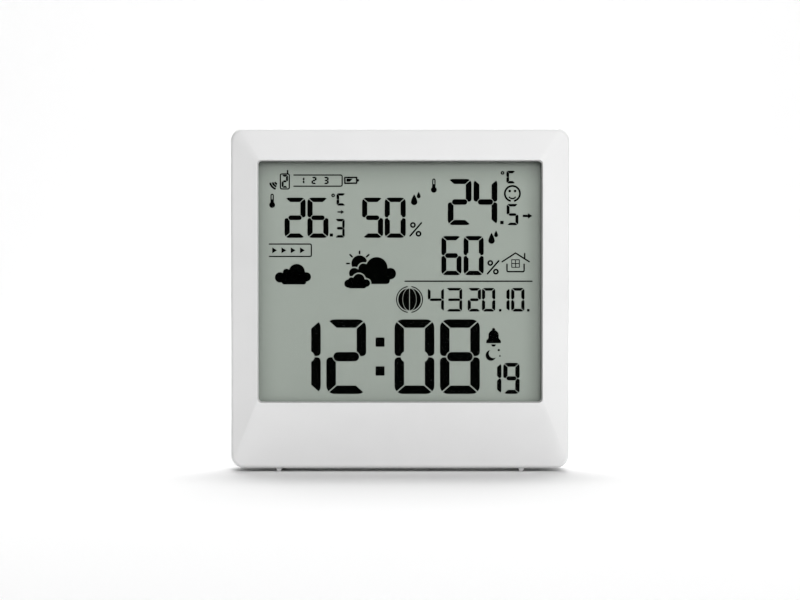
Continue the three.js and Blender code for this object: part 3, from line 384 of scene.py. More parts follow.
def cell_film(name, colour):
    """Shrunk printed film on a cell: glossy, with stretch lines along it 0.4 mm apart."""
    tone = linear(colour)
    return two_tone(
        name, (shade(tone, 0.88), tone), {"IOR": 1.5, "Coat Weight": 0.4, "Coat Roughness": 0.08},
        {"Scale": 1.0}, gloss=(0.2, 0.32), mapping={"Scale": (every(9), every(0.4), every(0.4))},
    )


def paper_sweep():
    """Matt white paper: no gloss, fibres of about 1 mm that only just show."""
    return two_tone(
        "matt_paper_sweep", (linear("#F5F5F5"), linear("#F9F9F9")),
        {"Roughness": 0.9, "Specular IOR Level": 0.1}, {"Scale": every(1), "Detail": 4.0},
    )


# Shapes


def grow(outline, by):
    left, right, low, high = outline
    return left - by, right + by, low - by, high + by


def end_radius(outline):
    """Radius that rounds an outline's ends fully, less a hair, so that no edge is left without length."""
    return (outline[3] - outline[2]) / 2 * 0.999


def rounded_face(bm, outline, radius, place, steps):
    """A rectangle with round corners. The radius is one number, or one for each corner from the
    low left, counter-clockwise. place turns it from the flat xy plane to where it stands."""
    left, right, low, high = outline
    middle = Matrix.Translation(((left + right) / 2, (low + high) / 2, 0))
    size = Matrix.Diagonal((right - left, high - low, 1, 1))
    made = bmesh.ops.create_grid(bm, x_segments=1, y_segments=1, size=0.5, matrix=middle @ size)
    face = made["verts"][0].link_faces[0]
    radii = radius if isinstance(radius, tuple) else (radius,) * 4
    for corner, rounding in zip(((left, low), (right, low), (right, high), (left, high)), radii):
        if rounding > 0:
            vert = min(face.verts, key=lambda v: (v.co.xy - Vector(corner)).length)
            rounded = bmesh.ops.bevel(
                bm, geom=[vert], offset=rounding, offset_type="OFFSET", segments=steps, profile=0.5,
                affect="VERTICES", material=-1,
            )
            face = rounded["verts"][0].link_faces[0]
    bmesh.ops.transform(bm, matrix=place, verts=list(face.verts))
    return face


def rounded_loop(bm, outline, radius, place, steps):
    """The edges of a rounded rectangle, with no face between them."""
    face = rounded_face(bm, outline, radius, place, steps)
    edges = list(face.edges)
    bmesh.ops.delete(bm, geom=[face], context="FACES_ONLY")
    return edges


def at_depth(depth):
    """Stands a flat outline up to face the front, at a depth along y."""
    return Matrix.Translation((0, depth, 0)) @ UP_RIGHT


def at_height(height):
    return Matrix.Translation((0, 0, height))


def at_side(x):
    """Stands a flat outline up to face the side, at a place along x."""
    stand = Matrix.Rotation(math.radians(90), 4, "Y") @ Matrix.Rotation(math.radians(90), 4, "Z")
    return Matrix.Translation((x, 0, 0)) @ stand


def bridge(bm, loops, closed=False):
    """Joins each loop to the next. A closed run ends on its first loop, an open one is capped."""
    pairs = zip(loops, loops[1:] + loops[:1] if closed else loops[1:])
    for first, second in pairs:
        bmesh.ops.bridge_loops(bm, edges=first + second)
    if not closed:
        for end in (loops[0], loops[-1]):
            bmesh.ops.contextual_create(bm, geom=end)


def slab(bm, outline, radius, levels, place, steps):
    """A closed rounded plate between two levels, which place turns to where it stands."""
    bridge(bm, [rounded_loop(bm, outline, radius, place(level), steps) for level in levels])


def round_post(bm, radius, centre, length):
    """A round post along y."""
    bmesh.ops.create_cone(
        bm, cap_ends=True, segments=32, radius1=radius, radius2=radius, depth=length,
        matrix=Matrix.Translation(centre) @ UP_RIGHT,
    )


def mesh_of(bm, name):
    """Turns a bmesh into a mesh. The bmesh is used up."""
    mesh = bpy.data.meshes.new(name)
    bm.to_mesh(mesh)
    bm.free()
    return mesh


def new_object(name, data):
    made = bpy.data.objects.new(name, data)
    bpy.context.scene.collection.objects.link(made)
    return made


def settle(bm, sharp):
    """Faces outwards, and smooth shading that breaks at edges sharper than the given degrees."""
    bmesh.ops.recalc_face_normals(bm, faces=bm.faces)
    for face in bm.faces:
        face.smooth = True
    for edge in bm.edges:
        edge.smooth = edge.calc_face_angle(0) < math.radians(sharp)


def piece(bm, name, material, body, replaces=(), sharp=32, weighted=True):
    """Turns a bmesh into a finished piece that rides on a body. material may be a list."""
    settle(bm, sharp)
    made = new_object(name, mesh_of(bm, name))
    for each in material if isinstance(material, list) else [material]:
        made.data.materials.append(each)
    if weighted:
        made.modifiers.new("flat faces stay flat", "WEIGHTED_NORMAL").keep_sharp = True
    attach(made, body)
    if replaces:
        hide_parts(*replaces)


def combine(first, second, operation):
    """Two sets of closed shapes as one solid. Both are used up; what comes back is new."""
    halves = [new_object("combining", mesh_of(solid, "combining")) for solid in (first, second)]
    work = halves[0].modifiers.new("combine", "BOOLEAN")
    work.operation, work.solver, work.object, work.use_self = operation, "EXACT", halves[1], True
    bpy.context.view_layer.update()
    result = bmesh.new()
    result.from_object(halves[0], bpy.context.evaluated_depsgraph_get())
    if not result.faces:
        raise RuntimeError(f"nothing is left after {operation.lower()}")
    for half in halves:
        mesh = half.data
        bpy.data.objects.remove(half)
        bpy.data.meshes.remove(mesh)
    return result


def merged_copy(node):
    """A CAD node's mesh with its loose triangles welded and its flat faces made whole."""
    bm = bmesh.new()
    bm.from_mesh(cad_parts[node].data)
    for layer in list(bm.loops.layers.uv):
        bm.loops.layers.uv.remove(layer)
    bmesh.ops.remove_doubles(bm, verts=bm.verts, dist=0.002 * MM)
    bmesh.ops.dissolve_limit(
        bm, angle_limit=math.radians(0.5), use_dissolve_boundaries=False, verts=bm.verts, edges=bm.edges
    )
    return bm


def dress(material, *nodes):
    """Gives CAD nodes a material in place of their own."""
    for node in nodes:
        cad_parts[node].data.materials.clear()
        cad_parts[node].data.materials.append(material)


def middle_of(node):
    low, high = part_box(node)
    return (low + high) / 2


# Display signs: flat shapes in millimetres, x across from the middle and y up from the table

# Radius of a stroke's round end over its width, and faces round corners and stroke ends
ROUND_END = 0.499
SIGN_STEPS, LINE_STEPS = 5, 4


def merge_into(bm, shape):
    """Adds a flat shape's bmesh to another."""
    mesh = mesh_of(shape, "shape")
    bm.from_mesh(mesh)
    bpy.data.meshes.remove(mesh)


def trim(shape, point, normal):
    """Cuts away what lies on the normal's side of a line through point."""
    geom = list(shape.verts) + list(shape.edges) + list(shape.faces)
    bmesh.ops.bisect_plane(
        shape, geom=geom, dist=1e-6, plane_co=(*point, 0), plane_no=(*normal, 0), clear_outer=True
    )


def patch(bm, outline, radius=0.0, cuts=()):
    """A rounded rectangle, with what lies outside each cut taken off."""
    shape = bmesh.new()
    rounded_face(shape, outline, radius, FLAT, SIGN_STEPS)
    for point, normal in cuts:
        trim(shape, point, normal)
    merge_into(bm, shape)


def disc(bm, x, y, radius, segments=28):
    bmesh.ops.create_circle(
        bm, cap_ends=True, segments=segments, radius=radius, matrix=Matrix.Translation((x, y, 0))
    )


def line(bm, start, end, width, square=False):
    """A straight stroke with round or square ends."""
    start, end = Vector(start), Vector(end)
    along = end - start
    reach = 0 if square else width / 2
    place = Matrix.Translation((*start, 0)) @ Matrix.Rotation(math.atan2(along.y, along.x), 4, "Z")
    outline = (-reach, along.length + reach, -width / 2, width / 2)
    rounded_face(bm, outline, 0 if square else width * ROUND_END, place, LINE_STEPS)


def strokes(bm, points, width):
    for start, end in zip(points, points[1:]):
        line(bm, start, end, width)


def arc(bm, x, y, radius, width, steps, start=0, sweep=360, squeeze=1.0):
    """A band along an arc, spun from a short edge. Angles are in degrees from the right, and
    squeeze narrows the arc's circle."""
    direction = Vector((math.cos(math.radians(start)), math.sin(math.radians(start)), 0))
    ends = [bm.verts.new(direction * (radius + side * width / 2)) for side in (-1, 1)]
    edge = bm.edges.new(ends)
    full = abs(sweep) >= 360
    before = set(bm.faces)
    bmesh.ops.spin(
        bm, geom=[edge], cent=(0, 0, 0), axis=(0, 0, 1), angle=math.radians(sweep), steps=steps,
        use_merge=full, use_normal_flip=False, use_duplicate=False,
    )
    verts = list({v for f in bm.faces if f not in before for v in f.verts})
    place = Matrix.Translation((x, y, 0)) @ Matrix.Diagonal((squeeze, 1, 1, 1))
    bmesh.ops.transform(bm, matrix=place, verts=verts)


def frame_line(bm, outline, radius, width, cuts=()):
    """A rounded rectangle drawn as a line, inside its outline."""
    shape = bmesh.new()
    face = rounded_face(shape, outline, radius, FLAT, SIGN_STEPS)
    bmesh.ops.inset_region(shape, faces=[face], thickness=width, use_boundary=True, use_even_offset=True)
    bmesh.ops.delete(shape, geom=[face], context="FACES_ONLY")
    for point, normal in cuts:
        trim(shape, point, normal)
    merge_into(bm, shape)


def drop(bm, x, y, radius, tip):
    """A water drop: a disc whose upper half is drawn up to a tip."""
    shape = bmesh.new()
    disc(shape, 0, 0, radius)
    for vert in shape.verts:
        share = max(vert.co.y / radius, 0)
        vert.co.x *= (1 - share) ** 0.45
        vert.co.y = vert.co.y if share == 0 else share * (tip - y)
    bmesh.ops.translate(shape, verts=shape.verts, vec=(x, y, 0))
    merge_into(bm, shape)


def digit(signs, bites, character, outline, bar, gap):
    """A segment digit. bar is how wide its upright bars and how tall its level bars and its middle
    bar are. The upright bars are bitten by the middle bar's round ends, so those go into bites
    too; a character that never has a middle bar gives it as 0."""
    left, right, low, high = outline
    wide, tall, thick = bar
    middle = (low + high) / 2
    corner, round_end, inset = 0.85 * wide, 0.42 * wide, 0.74 * wide
    slot = gap / 2
    span = (left + inset, right - inset, middle - thick / 2, middle + thick / 2)
    # Where a level and an upright bar meet: the corner, and the way across their slanted joint
    joints = {
        (side, end): (Vector((x, y)), Vector((tall * side, -wide * end)).normalized())
        for side, x in ((-1, left), (1, right)) for end, y in ((-1, low), (1, high))
    }
    for name in BARS[character]:
        if name == "g":
            patch(signs["middle"], span, thick * ROUND_END)
        elif name in "ad":
            end, edge = (1, high - tall) if name == "a" else (-1, low + tall)
            cuts = [((left, edge), (0, -end))]
            for side in (-1, 1):
                point, across = joints[side, end]
                cuts.append((point - across * slot, across))
            patch(signs["bars"], outline, corner, cuts)
        else:
            side, across_span = (1, (right - wide, right)) if name in "bc" else (-1, (left, left + wide))
            end, up_span = (1, (middle + slot, high)) if name in "bf" else (-1, (low, middle - slot))
            rounded = {(side, end): corner, (side, -end): round_end}
            radii = tuple(rounded.get(spot, 0.0) for spot in ((-1, -1), (1, -1), (1, 1), (-1, 1)))
            point, across = joints[side, end]
            patch(signs["bars"], across_span + up_span, radii, [(point + across * slot, -across)])
    if thick:
        bite = grow(span, gap * 0.8)
        patch(bites, bite, end_radius(bite))


def thicken(bm, thickness, sink=0.0):
    """Flat faces become closed plates that stand out towards the viewer, from sink behind the flat."""
    for face in bm.faces:
        if face.normal.z < 0:
            face.normal_flip()
    bmesh.ops.solidify(bm, geom=list(bm.faces), thickness=-thickness)
    bmesh.ops.translate(bm, verts=bm.verts, vec=(0, 0, -sink))
    bmesh.ops.recalc_face_normals(bm, faces=bm.faces)
    return bm


def stamp(flat, cutter, thickness):
    """Flat shapes as one plate, less the shapes of a cutter."""
    cutter = thicken(cutter, 3 * thickness, thickness)
    return combine(thicken(flat, thickness), cutter, "DIFFERENCE")


def stand_signs(bm, scene):
    """Moves signs from their layout in millimetres to the film's face, as the camera sees them."""
    display = scene.station_display
    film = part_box("lcd_front_polariser")[0].y
    layout = Matrix.Translation((*display.layout_middle, 0))
    eye = Matrix.Translation((0, scene.station_studio.camera_height / MM, 0))
    sized = eye @ Matrix.Diagonal((display.sign_scale, display.sign_scale, 1, 1)) @ layout.inverted()
    bmesh.ops.transform(bm, matrix=at_depth(film) @ Matrix.Scale(MM, 4) @ sized, verts=bm.verts)


def finish_signs(plates, name, context):
    """Makes all the plates one piece on the film."""
    signs = plates[0]
    for plate in plates[1:]:
        signs = combine(signs, plate, "UNION")
    stand_signs(signs, context.scene)
    ink = display_ink(tuple(context.scene.station_display.ink_colour))
    piece(signs, name, ink, HOUSING, weighted=False)


# Pieces


class STATION_OT_front_frame(bpy.types.Operator):
    """Front shell: a frame that slopes back from the window's rim, with its skirt, towers and feet"""

    bl_idname = "station.front_frame"
    bl_label = "Front frame"

    rim_radius: FloatProperty(
        name="Rim radius", description="Rounding of the window's rim", default=0.25 * MM, unit="LENGTH"
    )
    window_draft: FloatProperty(
        name="Window draft", description="How far the window's walls close towards the display",
        default=0.3 * MM, unit="LENGTH",
    )
    wall: FloatProperty(name="Wall", description="Thickness of the shell", default=2.2 * MM, unit="LENGTH")
    skirt_draft: FloatProperty(
        name="Skirt draft", description="How far the skirt widens towards the rear shell",
        default=0.3 * MM, unit="LENGTH",
    )

    def execute(self, context):
        body = context.scene.station_body
        low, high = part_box("front_bezel")
        outer = (low.x, high.x, body.foot_height, high.z)
        left, right, bottom, top = outer
        window = (
            left + body.side_border, right - body.side_border,
            bottom + body.bottom_border, top - body.top_border,
        )
        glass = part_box("display_window")
        pocket_gap = 0.3 * MM
        pocket = grow((glass[0].x, glass[1].x, glass[0].z, glass[1].z), pocket_gap)
        bm = bmesh.new()
        loops = []

        def add(outline, radius, depth):
            place = at_depth(low.y + depth)
            loops.append(rounded_loop(bm, outline, radius, place, body.corner_steps))

        rim_steps = 4
        for step in range(rim_steps + 1):
            angle = math.radians(90) * step / rim_steps
            out = self.rim_radius * (1 - math.cos(angle))
            add(grow(window, out), WINDOW_RADIUS + out, self.rim_radius * (1 - math.sin(angle)))
        edge_start = math.radians(12)
        front = grow(outer, -self.skirt_draft)
        edge_steps = 10
        for step in range(edge_steps + 1):
            angle = edge_start + (math.radians(90) - edge_start) * step / edge_steps
            inset = body.edge_radius * (1 - math.sin(angle))
            fall = body.edge_radius * (math.cos(edge_start) - math.cos(angle))
            add(grow(front, -inset), body.corner_radius - inset, body.slope_drop + fall)
        parting = high.y - low.y
        parting_rise, parting_inset = 0.15 * MM, 0.12 * MM
        inside = grow(outer, -self.wall)
        inside_radius = max(body.corner_radius - self.wall, body.edge_radius)
        add(outer, body.corner_radius, parting - parting_rise)
        add(grow(outer, -parting_inset), body.corner_radius - parting_inset, parting)
        add(inside, inside_radius, parting)
        add(grow(inside, -self.skirt_draft), inside_radius, body.slope_drop + self.wall)
        # The pocket's floor falls a hair, as level loops can be joined the wrong way round
        add(pocket, WINDOW_RADIUS, self.wall + 0.02 * MM)
        add(grow(window, -self.window_draft), WINDOW_RADIUS, self.wall)
        bridge(bm, loops, closed=True)

        # Posts for the screws: radius, and how far short of the parting line they end
        for screw, radius, short in (("case_screw_", 2.5, 1.3), ("board_screw_", 2.2, 4.0)):
            for index in range(1, 5):
                axis = middle_of(f"{screw}{index}")
                floor = low.y + self.wall
                length = high.y - short * MM - low.y - self.wall
                round_post(bm, radius * MM, (axis.x, floor + length / 2, axis.z), length)
        for side in (-1, 1):
            foot(bm, side * FOOT_X, low.y + FOOT_FRONT, low.y + FOOT_BACK)
        shell = satin_abs(tuple(body.shell_colour))
        piece(bm, "front_frame", shell, HOUSING, replaces=["front_bezel"], sharp=40)
        return {"FINISHED"}


def foot(bm, x, front, back):
    """A short tapered rib under a shell, which slopes away from the front and is rounded at its tip."""
    loops = []
    # Height, half width, slope of the front and ease of the back, from the tip up
    for height, half, slope, ease in (
        (0, 0.55, 1.5, 0.2), (0.15, 0.75, 1.1, 0), (1.2, 1.0, 0.2, 0), (2.2, 1.1, 0, 0),
    ):
        outline = (x - half * MM, x + half * MM, front + slope * MM, back - ease * MM)
        loops.append(rounded_loop(bm, outline, 0.45 * MM, at_height(height * MM), 4))
    bridge(bm, loops)


def eased_copy(node, width):
    """A CAD node's form with its sharp convex edges broken, as a mould leaves them."""
    sharp = math.radians(35)
    bm = merged_copy(node)
    edges = [e for e in bm.edges if e.is_manifold and e.calc_face_angle(0) > sharp and e.is_convex]
    bmesh.ops.bevel(
        bm, geom=edges, offset=width, offset_type="OFFSET", segments=2, profile=0.5,
        affect="EDGES", clamp_overlap=True, material=-1,
    )
    return bm


class STATION_OT_rear_shell(bpy.types.Operator):
    """Rear shell, battery door and fold-out leg: spark-grained mouldings with broken edges"""

    bl_idname = "station.rear_shell"
    bl_label = "Rear shell, door and leg"

    edge: FloatProperty(
        name="Broken edge", description="How wide the outer edges are eased", default=0.12 * MM, unit="LENGTH"
    )

    def execute(self, context):
        shell = spark_abs(tuple(context.scene.station_body.shell_colour))
        for node, name, body in (
            ("rear_case", "rear_shell", HOUSING),
            ("battery_door", "door_panel", "battery_door"),
            ("table_stand", "fold_out_leg", "table_stand"),
        ):
            bm = eased_copy(node, self.edge)
            piece(bm, name, shell, body, replaces=[node])
        return {"FINISHED"}


class STATION_OT_display_layers(bpy.types.Operator):
    """Window and the display's films, glasses, holder and connector behind it"""

    bl_idname = "station.display_layers"
    bl_label = "Display layers"

    def execute(self, context):
        low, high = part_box("display_window")
        outline = (low.x, high.x, low.z, high.z)
        ease = 0.15 * MM
        bm = bmesh.new()
        loops = [
            rounded_loop(bm, grow(outline, -inset), WINDOW_RADIUS - inset, at_depth(depth), 8)
            for inset, depth in ((ease, low.y), (0, low.y + ease), (0, high.y - ease), (ease, high.y))
        ]
        bridge(bm, loops)
        piece(bm, "window_pane", clear_acrylic(), HOUSING, replaces=["display_window"])
        outer_low, outer_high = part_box("front_bezel")
        body = context.scene.station_body
        opening = (
            outer_low.x + body.side_border, outer_high.x - body.side_border, outer_high.z - body.top_border
        )
        film = display_film(tuple(context.scene.station_display.film_colour), opening)
        dress(film, "lcd_front_polariser")
        dress(display_glass(), "lcd_front_glass", "lcd_rear_glass")
        dress(rolled_metal("silvered_reflector_film", "#C4C8C0", 0, 0.3), "lcd_reflector")
        dress(dull_plastic("black_filled_abs", "#232426"), "lcd_holder")
        dress(striped_rubber(), "zebra_strip")
        return {"FINISHED"}


# Segment numbers on the display, in millimetres of its layout: text, left, low, high, width of a
# digit, step to the next, sizes of the upright, level and middle bars, share of the usual gap.
# A point gives its left, right, low and high, and the radius of its corners.
NUMBERS = (
    # Time, with its colon and seconds
    ("12", -42.35, 27.75, 54.35, 14.2, 16.2, (3.4, 3.0, 3.3), 1.0),
    ("08", -1.85, 27.75, 54.35, 14.2, 16.2, (3.4, 3.0, 3.3), 1.0),
    (".", -8.6, -5.4, 34.3, 37.6, 0.25),
    (".", -8.6, -5.4, 44.6, 47.9, 0.25),
    ("19", 30.4, 27.8, 38.85, 5.85, 6.5, (1.55, 1.4, 1.45), 0.5),
    # Date, after a week number
    ("43", 10.0, 57.15, 65.55, 5.75, 6.5, (1.0, 0.9, 0.9), 0.5),
    ("20", 24.2, 57.15, 65.55, 4.75, 5.1, (1.15, 0.98, 1.0), 0.5),
    ("10", 34.4, 57.15, 65.55, 4.75, 5.3, (1.15, 0.98, 1.0), 0.5),
    (".", 35.35, 36.25, 57.15, 58.05, 0.1),
    (".", 45.35, 46.25, 57.15, 58.05, 0.1),
    # Outdoors
    ("26", -41.0, 83.4, 97.7, 7.5, 8.15, (1.85, 1.56, 1.65), 0.65),
    ("3", -23.0, 83.45, 90.15, 3.4, 0, (0.86, 0.92, 0.94), 0.25),
    ("C", -22.5, 94.85, 99.25, 3.3, 0, (0.98, 0.86, 0), 0.15),
    ("50", -13.4, 83.4, 97.7, 7.5, 8.05, (1.85, 1.56, 1.65), 0.65),
    (".", -24.9, -23.75, 83.85, 84.95, 0.15),
    # Indoors
    ("24", 17.1, 87.95, 104.35, 8.45, 9.2, (2.05, 1.8, 1.95), 0.65),
    ("5", 38.05, 87.9, 95.45, 4.2, 0, (1.05, 0.9, 0.94), 0.35),
    ("C", 37.95, 102.75, 107.25, 3.3, 0, (0.98, 0.88, 0), 0.15),
    ("60", 14.85, 70.1, 84.05, 7.15, 7.9, (1.75, 1.54, 1.7), 0.65),
    (".", 35.75, 37.0, 88.25, 89.45, 0.15),
    # Sensor channels
    ("2", -42.0, 101.2, 105.8, 2.25, 0, (0.72, 0.66, 0.68), 0.25),
    ("123", -35.7, 102.5, 105.1, 1.8, 4.3, (0.62, 0.56, 0.56), 0.2),
)


class STATION_OT_number_signs(bpy.types.Operator):
    """The display's lit segment digits: time, seconds, date, temperatures and humidities"""

    bl_idname = "station.number_signs"
    bl_label = "Number signs"

    def execute(self, context):
        gap = context.scene.station_display.bar_gap / MM
        signs = {"bars": bmesh.new(), "middle": bmesh.new()}
        bites = bmesh.new()
        for text, *sizes in NUMBERS:
            if text == ".":
                patch(signs["middle"], sizes[:4], sizes[4])
                continue
            left, low, high, width, step, bar, share = sizes
            for index, character in enumerate(text):
                start = left + index * step
                digit(signs, bites, character, (start, start + width, low, high), bar, gap * share)
        thickness = context.scene.station_display.sign_thickness / MM
        plates = [stamp(signs["bars"], bites, thickness), thicken(signs["middle"], thickness)]
        finish_signs(plates, "number_signs", context)
        return {"FINISHED"}


def ring_of(bm, x, y, radius, width):
    arc(bm, x, y, radius - width / 2, width, steps=28)


def percent(bm, x, y):
    """Percent mark: two rings and a stroke between them."""
    ring_of(bm, x - 1.0, y + 1.55, 1.04, 0.6)
    ring_of(bm, x + 1.0, y - 1.55, 1.04, 0.6)
    line(bm, (x - 2.0, y - 2.3), (x + 2.0, y + 2.3), 0.58)


def thermometer(bm, x, bulb, top):
    """A bulb with a half-filled tube."""
    disc(bm, x, bulb, 1.05)
    half = 0.6
    frame_line(bm, (x - half, x + half, bulb, top), half * 0.99, 0.4)
    line(bm, (x, bulb), (x, bulb + 0.42 * (top - bulb)), 0.7)


def arrow(bm, x, y, length, head, width):
    """An arrow that points right."""
    line(bm, (x, y), (x + length - head, y), width, square=True)
    point(bm, (x + length - head, y), head, head * 0.62)


def point(bm, base, length, half):
    """A triangle that points right from the middle of its base."""
    x, y = base
    slope = Vector((half, length)).normalized()
    cuts = [((x + length, y), (slope.x, slope.y)), ((x + length, y), (slope.x, -slope.y))]
    patch(bm, (x, x + length, y - half, y + half), 0, cuts)


def cloud(bm, lobes, base, radius, by=0.0):
    """Round lobes over a flat base. by grows the whole, for the gap cut round it."""
    for x, y, lobe in lobes:
        disc(bm, x, y, lobe + by, 36)
    patch(bm, grow(base, by), radius + by)


class STATION_OT_picture_signs(bpy.types.Operator):
    """The display's lit pictures: weather, moon, bell, house, face, drops, thermometers and frames"""

    bl_idname = "station.picture_signs"
    bl_label = "Picture signs"

    def execute(self, context):
        thickness = context.scene.station_display.sign_thickness / MM
        flat = bmesh.new()
        self.marks(flat)
        self.frames(flat)
        self.face_and_house(flat)
        plates = self.bell_and_moons(flat, thickness) + self.weather(flat, thickness)
        finish_signs(plates + [thicken(flat, thickness)], "picture_signs", context)
        return {"FINISHED"}

    def marks(self, flat):
        """Thermometers, drops, degree rings, percent marks, trend arrows and the radio waves."""
        thermometer(flat, -45.4, 95.1, 99.1)
        thermometer(flat, 12.15, 100.5, 104.5)
        for x, y, radius, tip in (
            (5.15, 96.2, 1.16, 98.9), (6.75, 98.15, 0.7, 99.8),
            (32.7, 82.45, 1.16, 85.2), (34.3, 84.35, 0.7, 86.0),
        ):
            drop(flat, x, y, radius, tip)
        for x, y in ((-23.7, 98.5), (36.6, 106.5)):
            ring_of(flat, x, y, 0.66, 0.46)
        percent(flat, 5.7, 86.4)
        percent(flat, 33.25, 72.9)
        arrow(flat, -22.15, 92.6, 2.4, 1.15, 0.48)
        arrow(flat, 43.8, 91.2, 3.4, 1.55, 0.86)
        for radius in (0.95, 1.8, 2.7):
            arc(flat, -43.4, 103.4, radius, 0.68, start=188, sweep=66, steps=10)

    def frames(self, flat):
        """Rule, label boxes, sensor and cell outlines."""
        line(flat, (1.9, 67.95), (47.1, 67.95), 0.46)
        frame_line(flat, (-42.68, -39.07, 100.57, 106.33), 0.7, 0.44)
        line(flat, (-39.9, 106.2), (-39.9, 107.3), 0.5)
        frame_line(flat, (-40.0, -20.27, 101.55, 105.95), 0.75, 0.43, [((-37.8, 0), (-1, 0))])
        frame_line(flat, (-49.0, -31.25, 76.55, 81.4), 0.7, 0.44, [((-46.6, 0), (-1, 0))])
        for x in (-45.4, -42.1, -38.8, -35.5):
            point(flat, (x, 78.95), 1.7, 1.05)
        frame_line(flat, (-19.8, -15.05, 102.55, 105.15), 0.3, 0.54)
        line(flat, (-15.1, 103.85), (-14.85, 103.85), 0.9)
        slant = Vector((1, 0.9)).normalized()
        patch(flat, (-18.95, -16.65, 103.35, 104.45), 0.1, [((-17.3, 103.85), (slant.x, -slant.y))])

    def face_and_house(self, flat):
        """A smiling face, and a house with a roof, a chimney and a window."""
        arc(flat, 40.1, 99.15, 2.7, 0.66, start=-78, sweep=336, steps=40)
        for side in (-1, 1):
            disc(flat, 40.1 + side * 0.95, 100.05, 0.48, 16)
        arc(flat, 40.1, 98.75, 1.4, 0.5, start=212, sweep=116, steps=16)
        strokes(flat, [(36.5, 74.9), (41.25, 78.0), (46.1, 74.9)], 0.5)
        line(flat, (44.5, 76.1), (44.5, 77.8), 0.5)
        frame_line(flat, (37.95, 44.55, 71.1, 75.0), 0.7, 0.5, [((0, 74.2), (0, 1))])
        frame_line(flat, (39.75, 42.75, 72.75, 75.75), 0.2, 0.3)
        line(flat, (41.25, 72.9), (41.25, 75.6), 0.3)
        line(flat, (39.9, 74.25), (42.6, 74.25), 0.3)

    def bell_and_moons(self, flat, thickness):
        """Alarm bell, the crescent of the snooze sign, and the moon's disc with its ring."""
        x = 33.45
        disc(flat, x, 50.7, 0.6)
        disc(flat, x, 48.7, 1.85, 32)
        patch(flat, (x - 1.8, x + 1.8, 46.5, 48.7))
        patch(flat, (x - 2.65, x + 2.65, 45.85, 46.75), (0.3, 0.3, 0.44, 0.44))
        flare, hollow = bmesh.new(), bmesh.new()
        patch(flare, (x - 2.55, x + 2.55, 46.4, 48.2))
        for side in (-1, 1):
            disc(hollow, x + side * 3.3, 48.35, 1.6, 32)
        bell = stamp(flare, hollow, thickness)
        patch(flat, (x - 0.8, x + 0.8, 44.65, 45.45), (0.7, 0.7, 0.1, 0.1))

        full, shadow = bmesh.new(), bmesh.new()
        disc(full, 32.5, 41.5, 1.9, 40)
        disc(shadow, 33.4, 42.2, 1.65, 40)
        crescent = stamp(full, shadow, thickness)
        for x, y, radius in ((35.3, 43.4, 0.42), (35.7, 41.3, 0.3)):
            disc(flat, x, y, radius, 12)

        x, y = 3.5, 61.45
        for start in (98, 278):
            arc(flat, x, y, 4.62, 0.37, start=start, sweep=164, steps=30)
        moon, lines = bmesh.new(), bmesh.new()
        disc(moon, x, y, 4.05, 56)
        line(lines, (x, y - 5), (x, y + 5), 0.2, square=True)
        arc(lines, x, y, 4.05, 0.24, squeeze=0.6, steps=40)
        return [bell, crescent, stamp(moon, lines, thickness)]

    def weather(self, flat, thickness):
        """A cloud, and the sun behind a large and a small cloud with a gap round each."""
        lobes = ((-36.65, 71.2, 2.9), (-40.35, 71.15, 1.25), (-42.6, 69.3, 1.85), (-33.25, 69.5, 1.65))
        cloud(flat, lobes, (-42.0, -33.3, 66.8, 70.4), 0.8)
        for start, end in (
            ((-14.3, 77.8), (-14.3, 78.6)), ((-17.7, 77.4), (-16.95, 76.65)),
            ((-11.0, 77.4), (-11.8, 76.65)), ((-18.9, 74.25), (-17.95, 74.25)),
        ):
            line(flat, start, end, 0.58)
        large = ((-8.2, 72.65, 3.9), (-3.35, 70.65, 2.05), (-12.9, 72.45, 1.85), (-16.15, 70.8, 1.9))
        large_base = (-14.6, -3.5, 66.95, 71.6)
        small = ((-14.55, 68.5, 2.1), (-18.3, 67.1, 1.45), (-11.9, 67.3, 1.35), (-17.25, 68.25, 1.1))
        small_base = (-18.3, -12.0, 65.4, 67.8)
        gap = 0.42
        sun, before_sun = bmesh.new(), bmesh.new()
        disc(sun, -14.35, 74.3, 2.85, 40)
        cloud(before_sun, large, large_base, 1.2, gap)
        sun = stamp(sun, before_sun, thickness)
        behind, before_large = bmesh.new(), bmesh.new()
        cloud(behind, large, large_base, 1.2)
        cloud(before_large, small, small_base, 0.65, gap)
        cloud(flat, small, small_base, 0.65)
        return [sun, stamp(behind, before_large, thickness)]


KEY_STEPS = 12


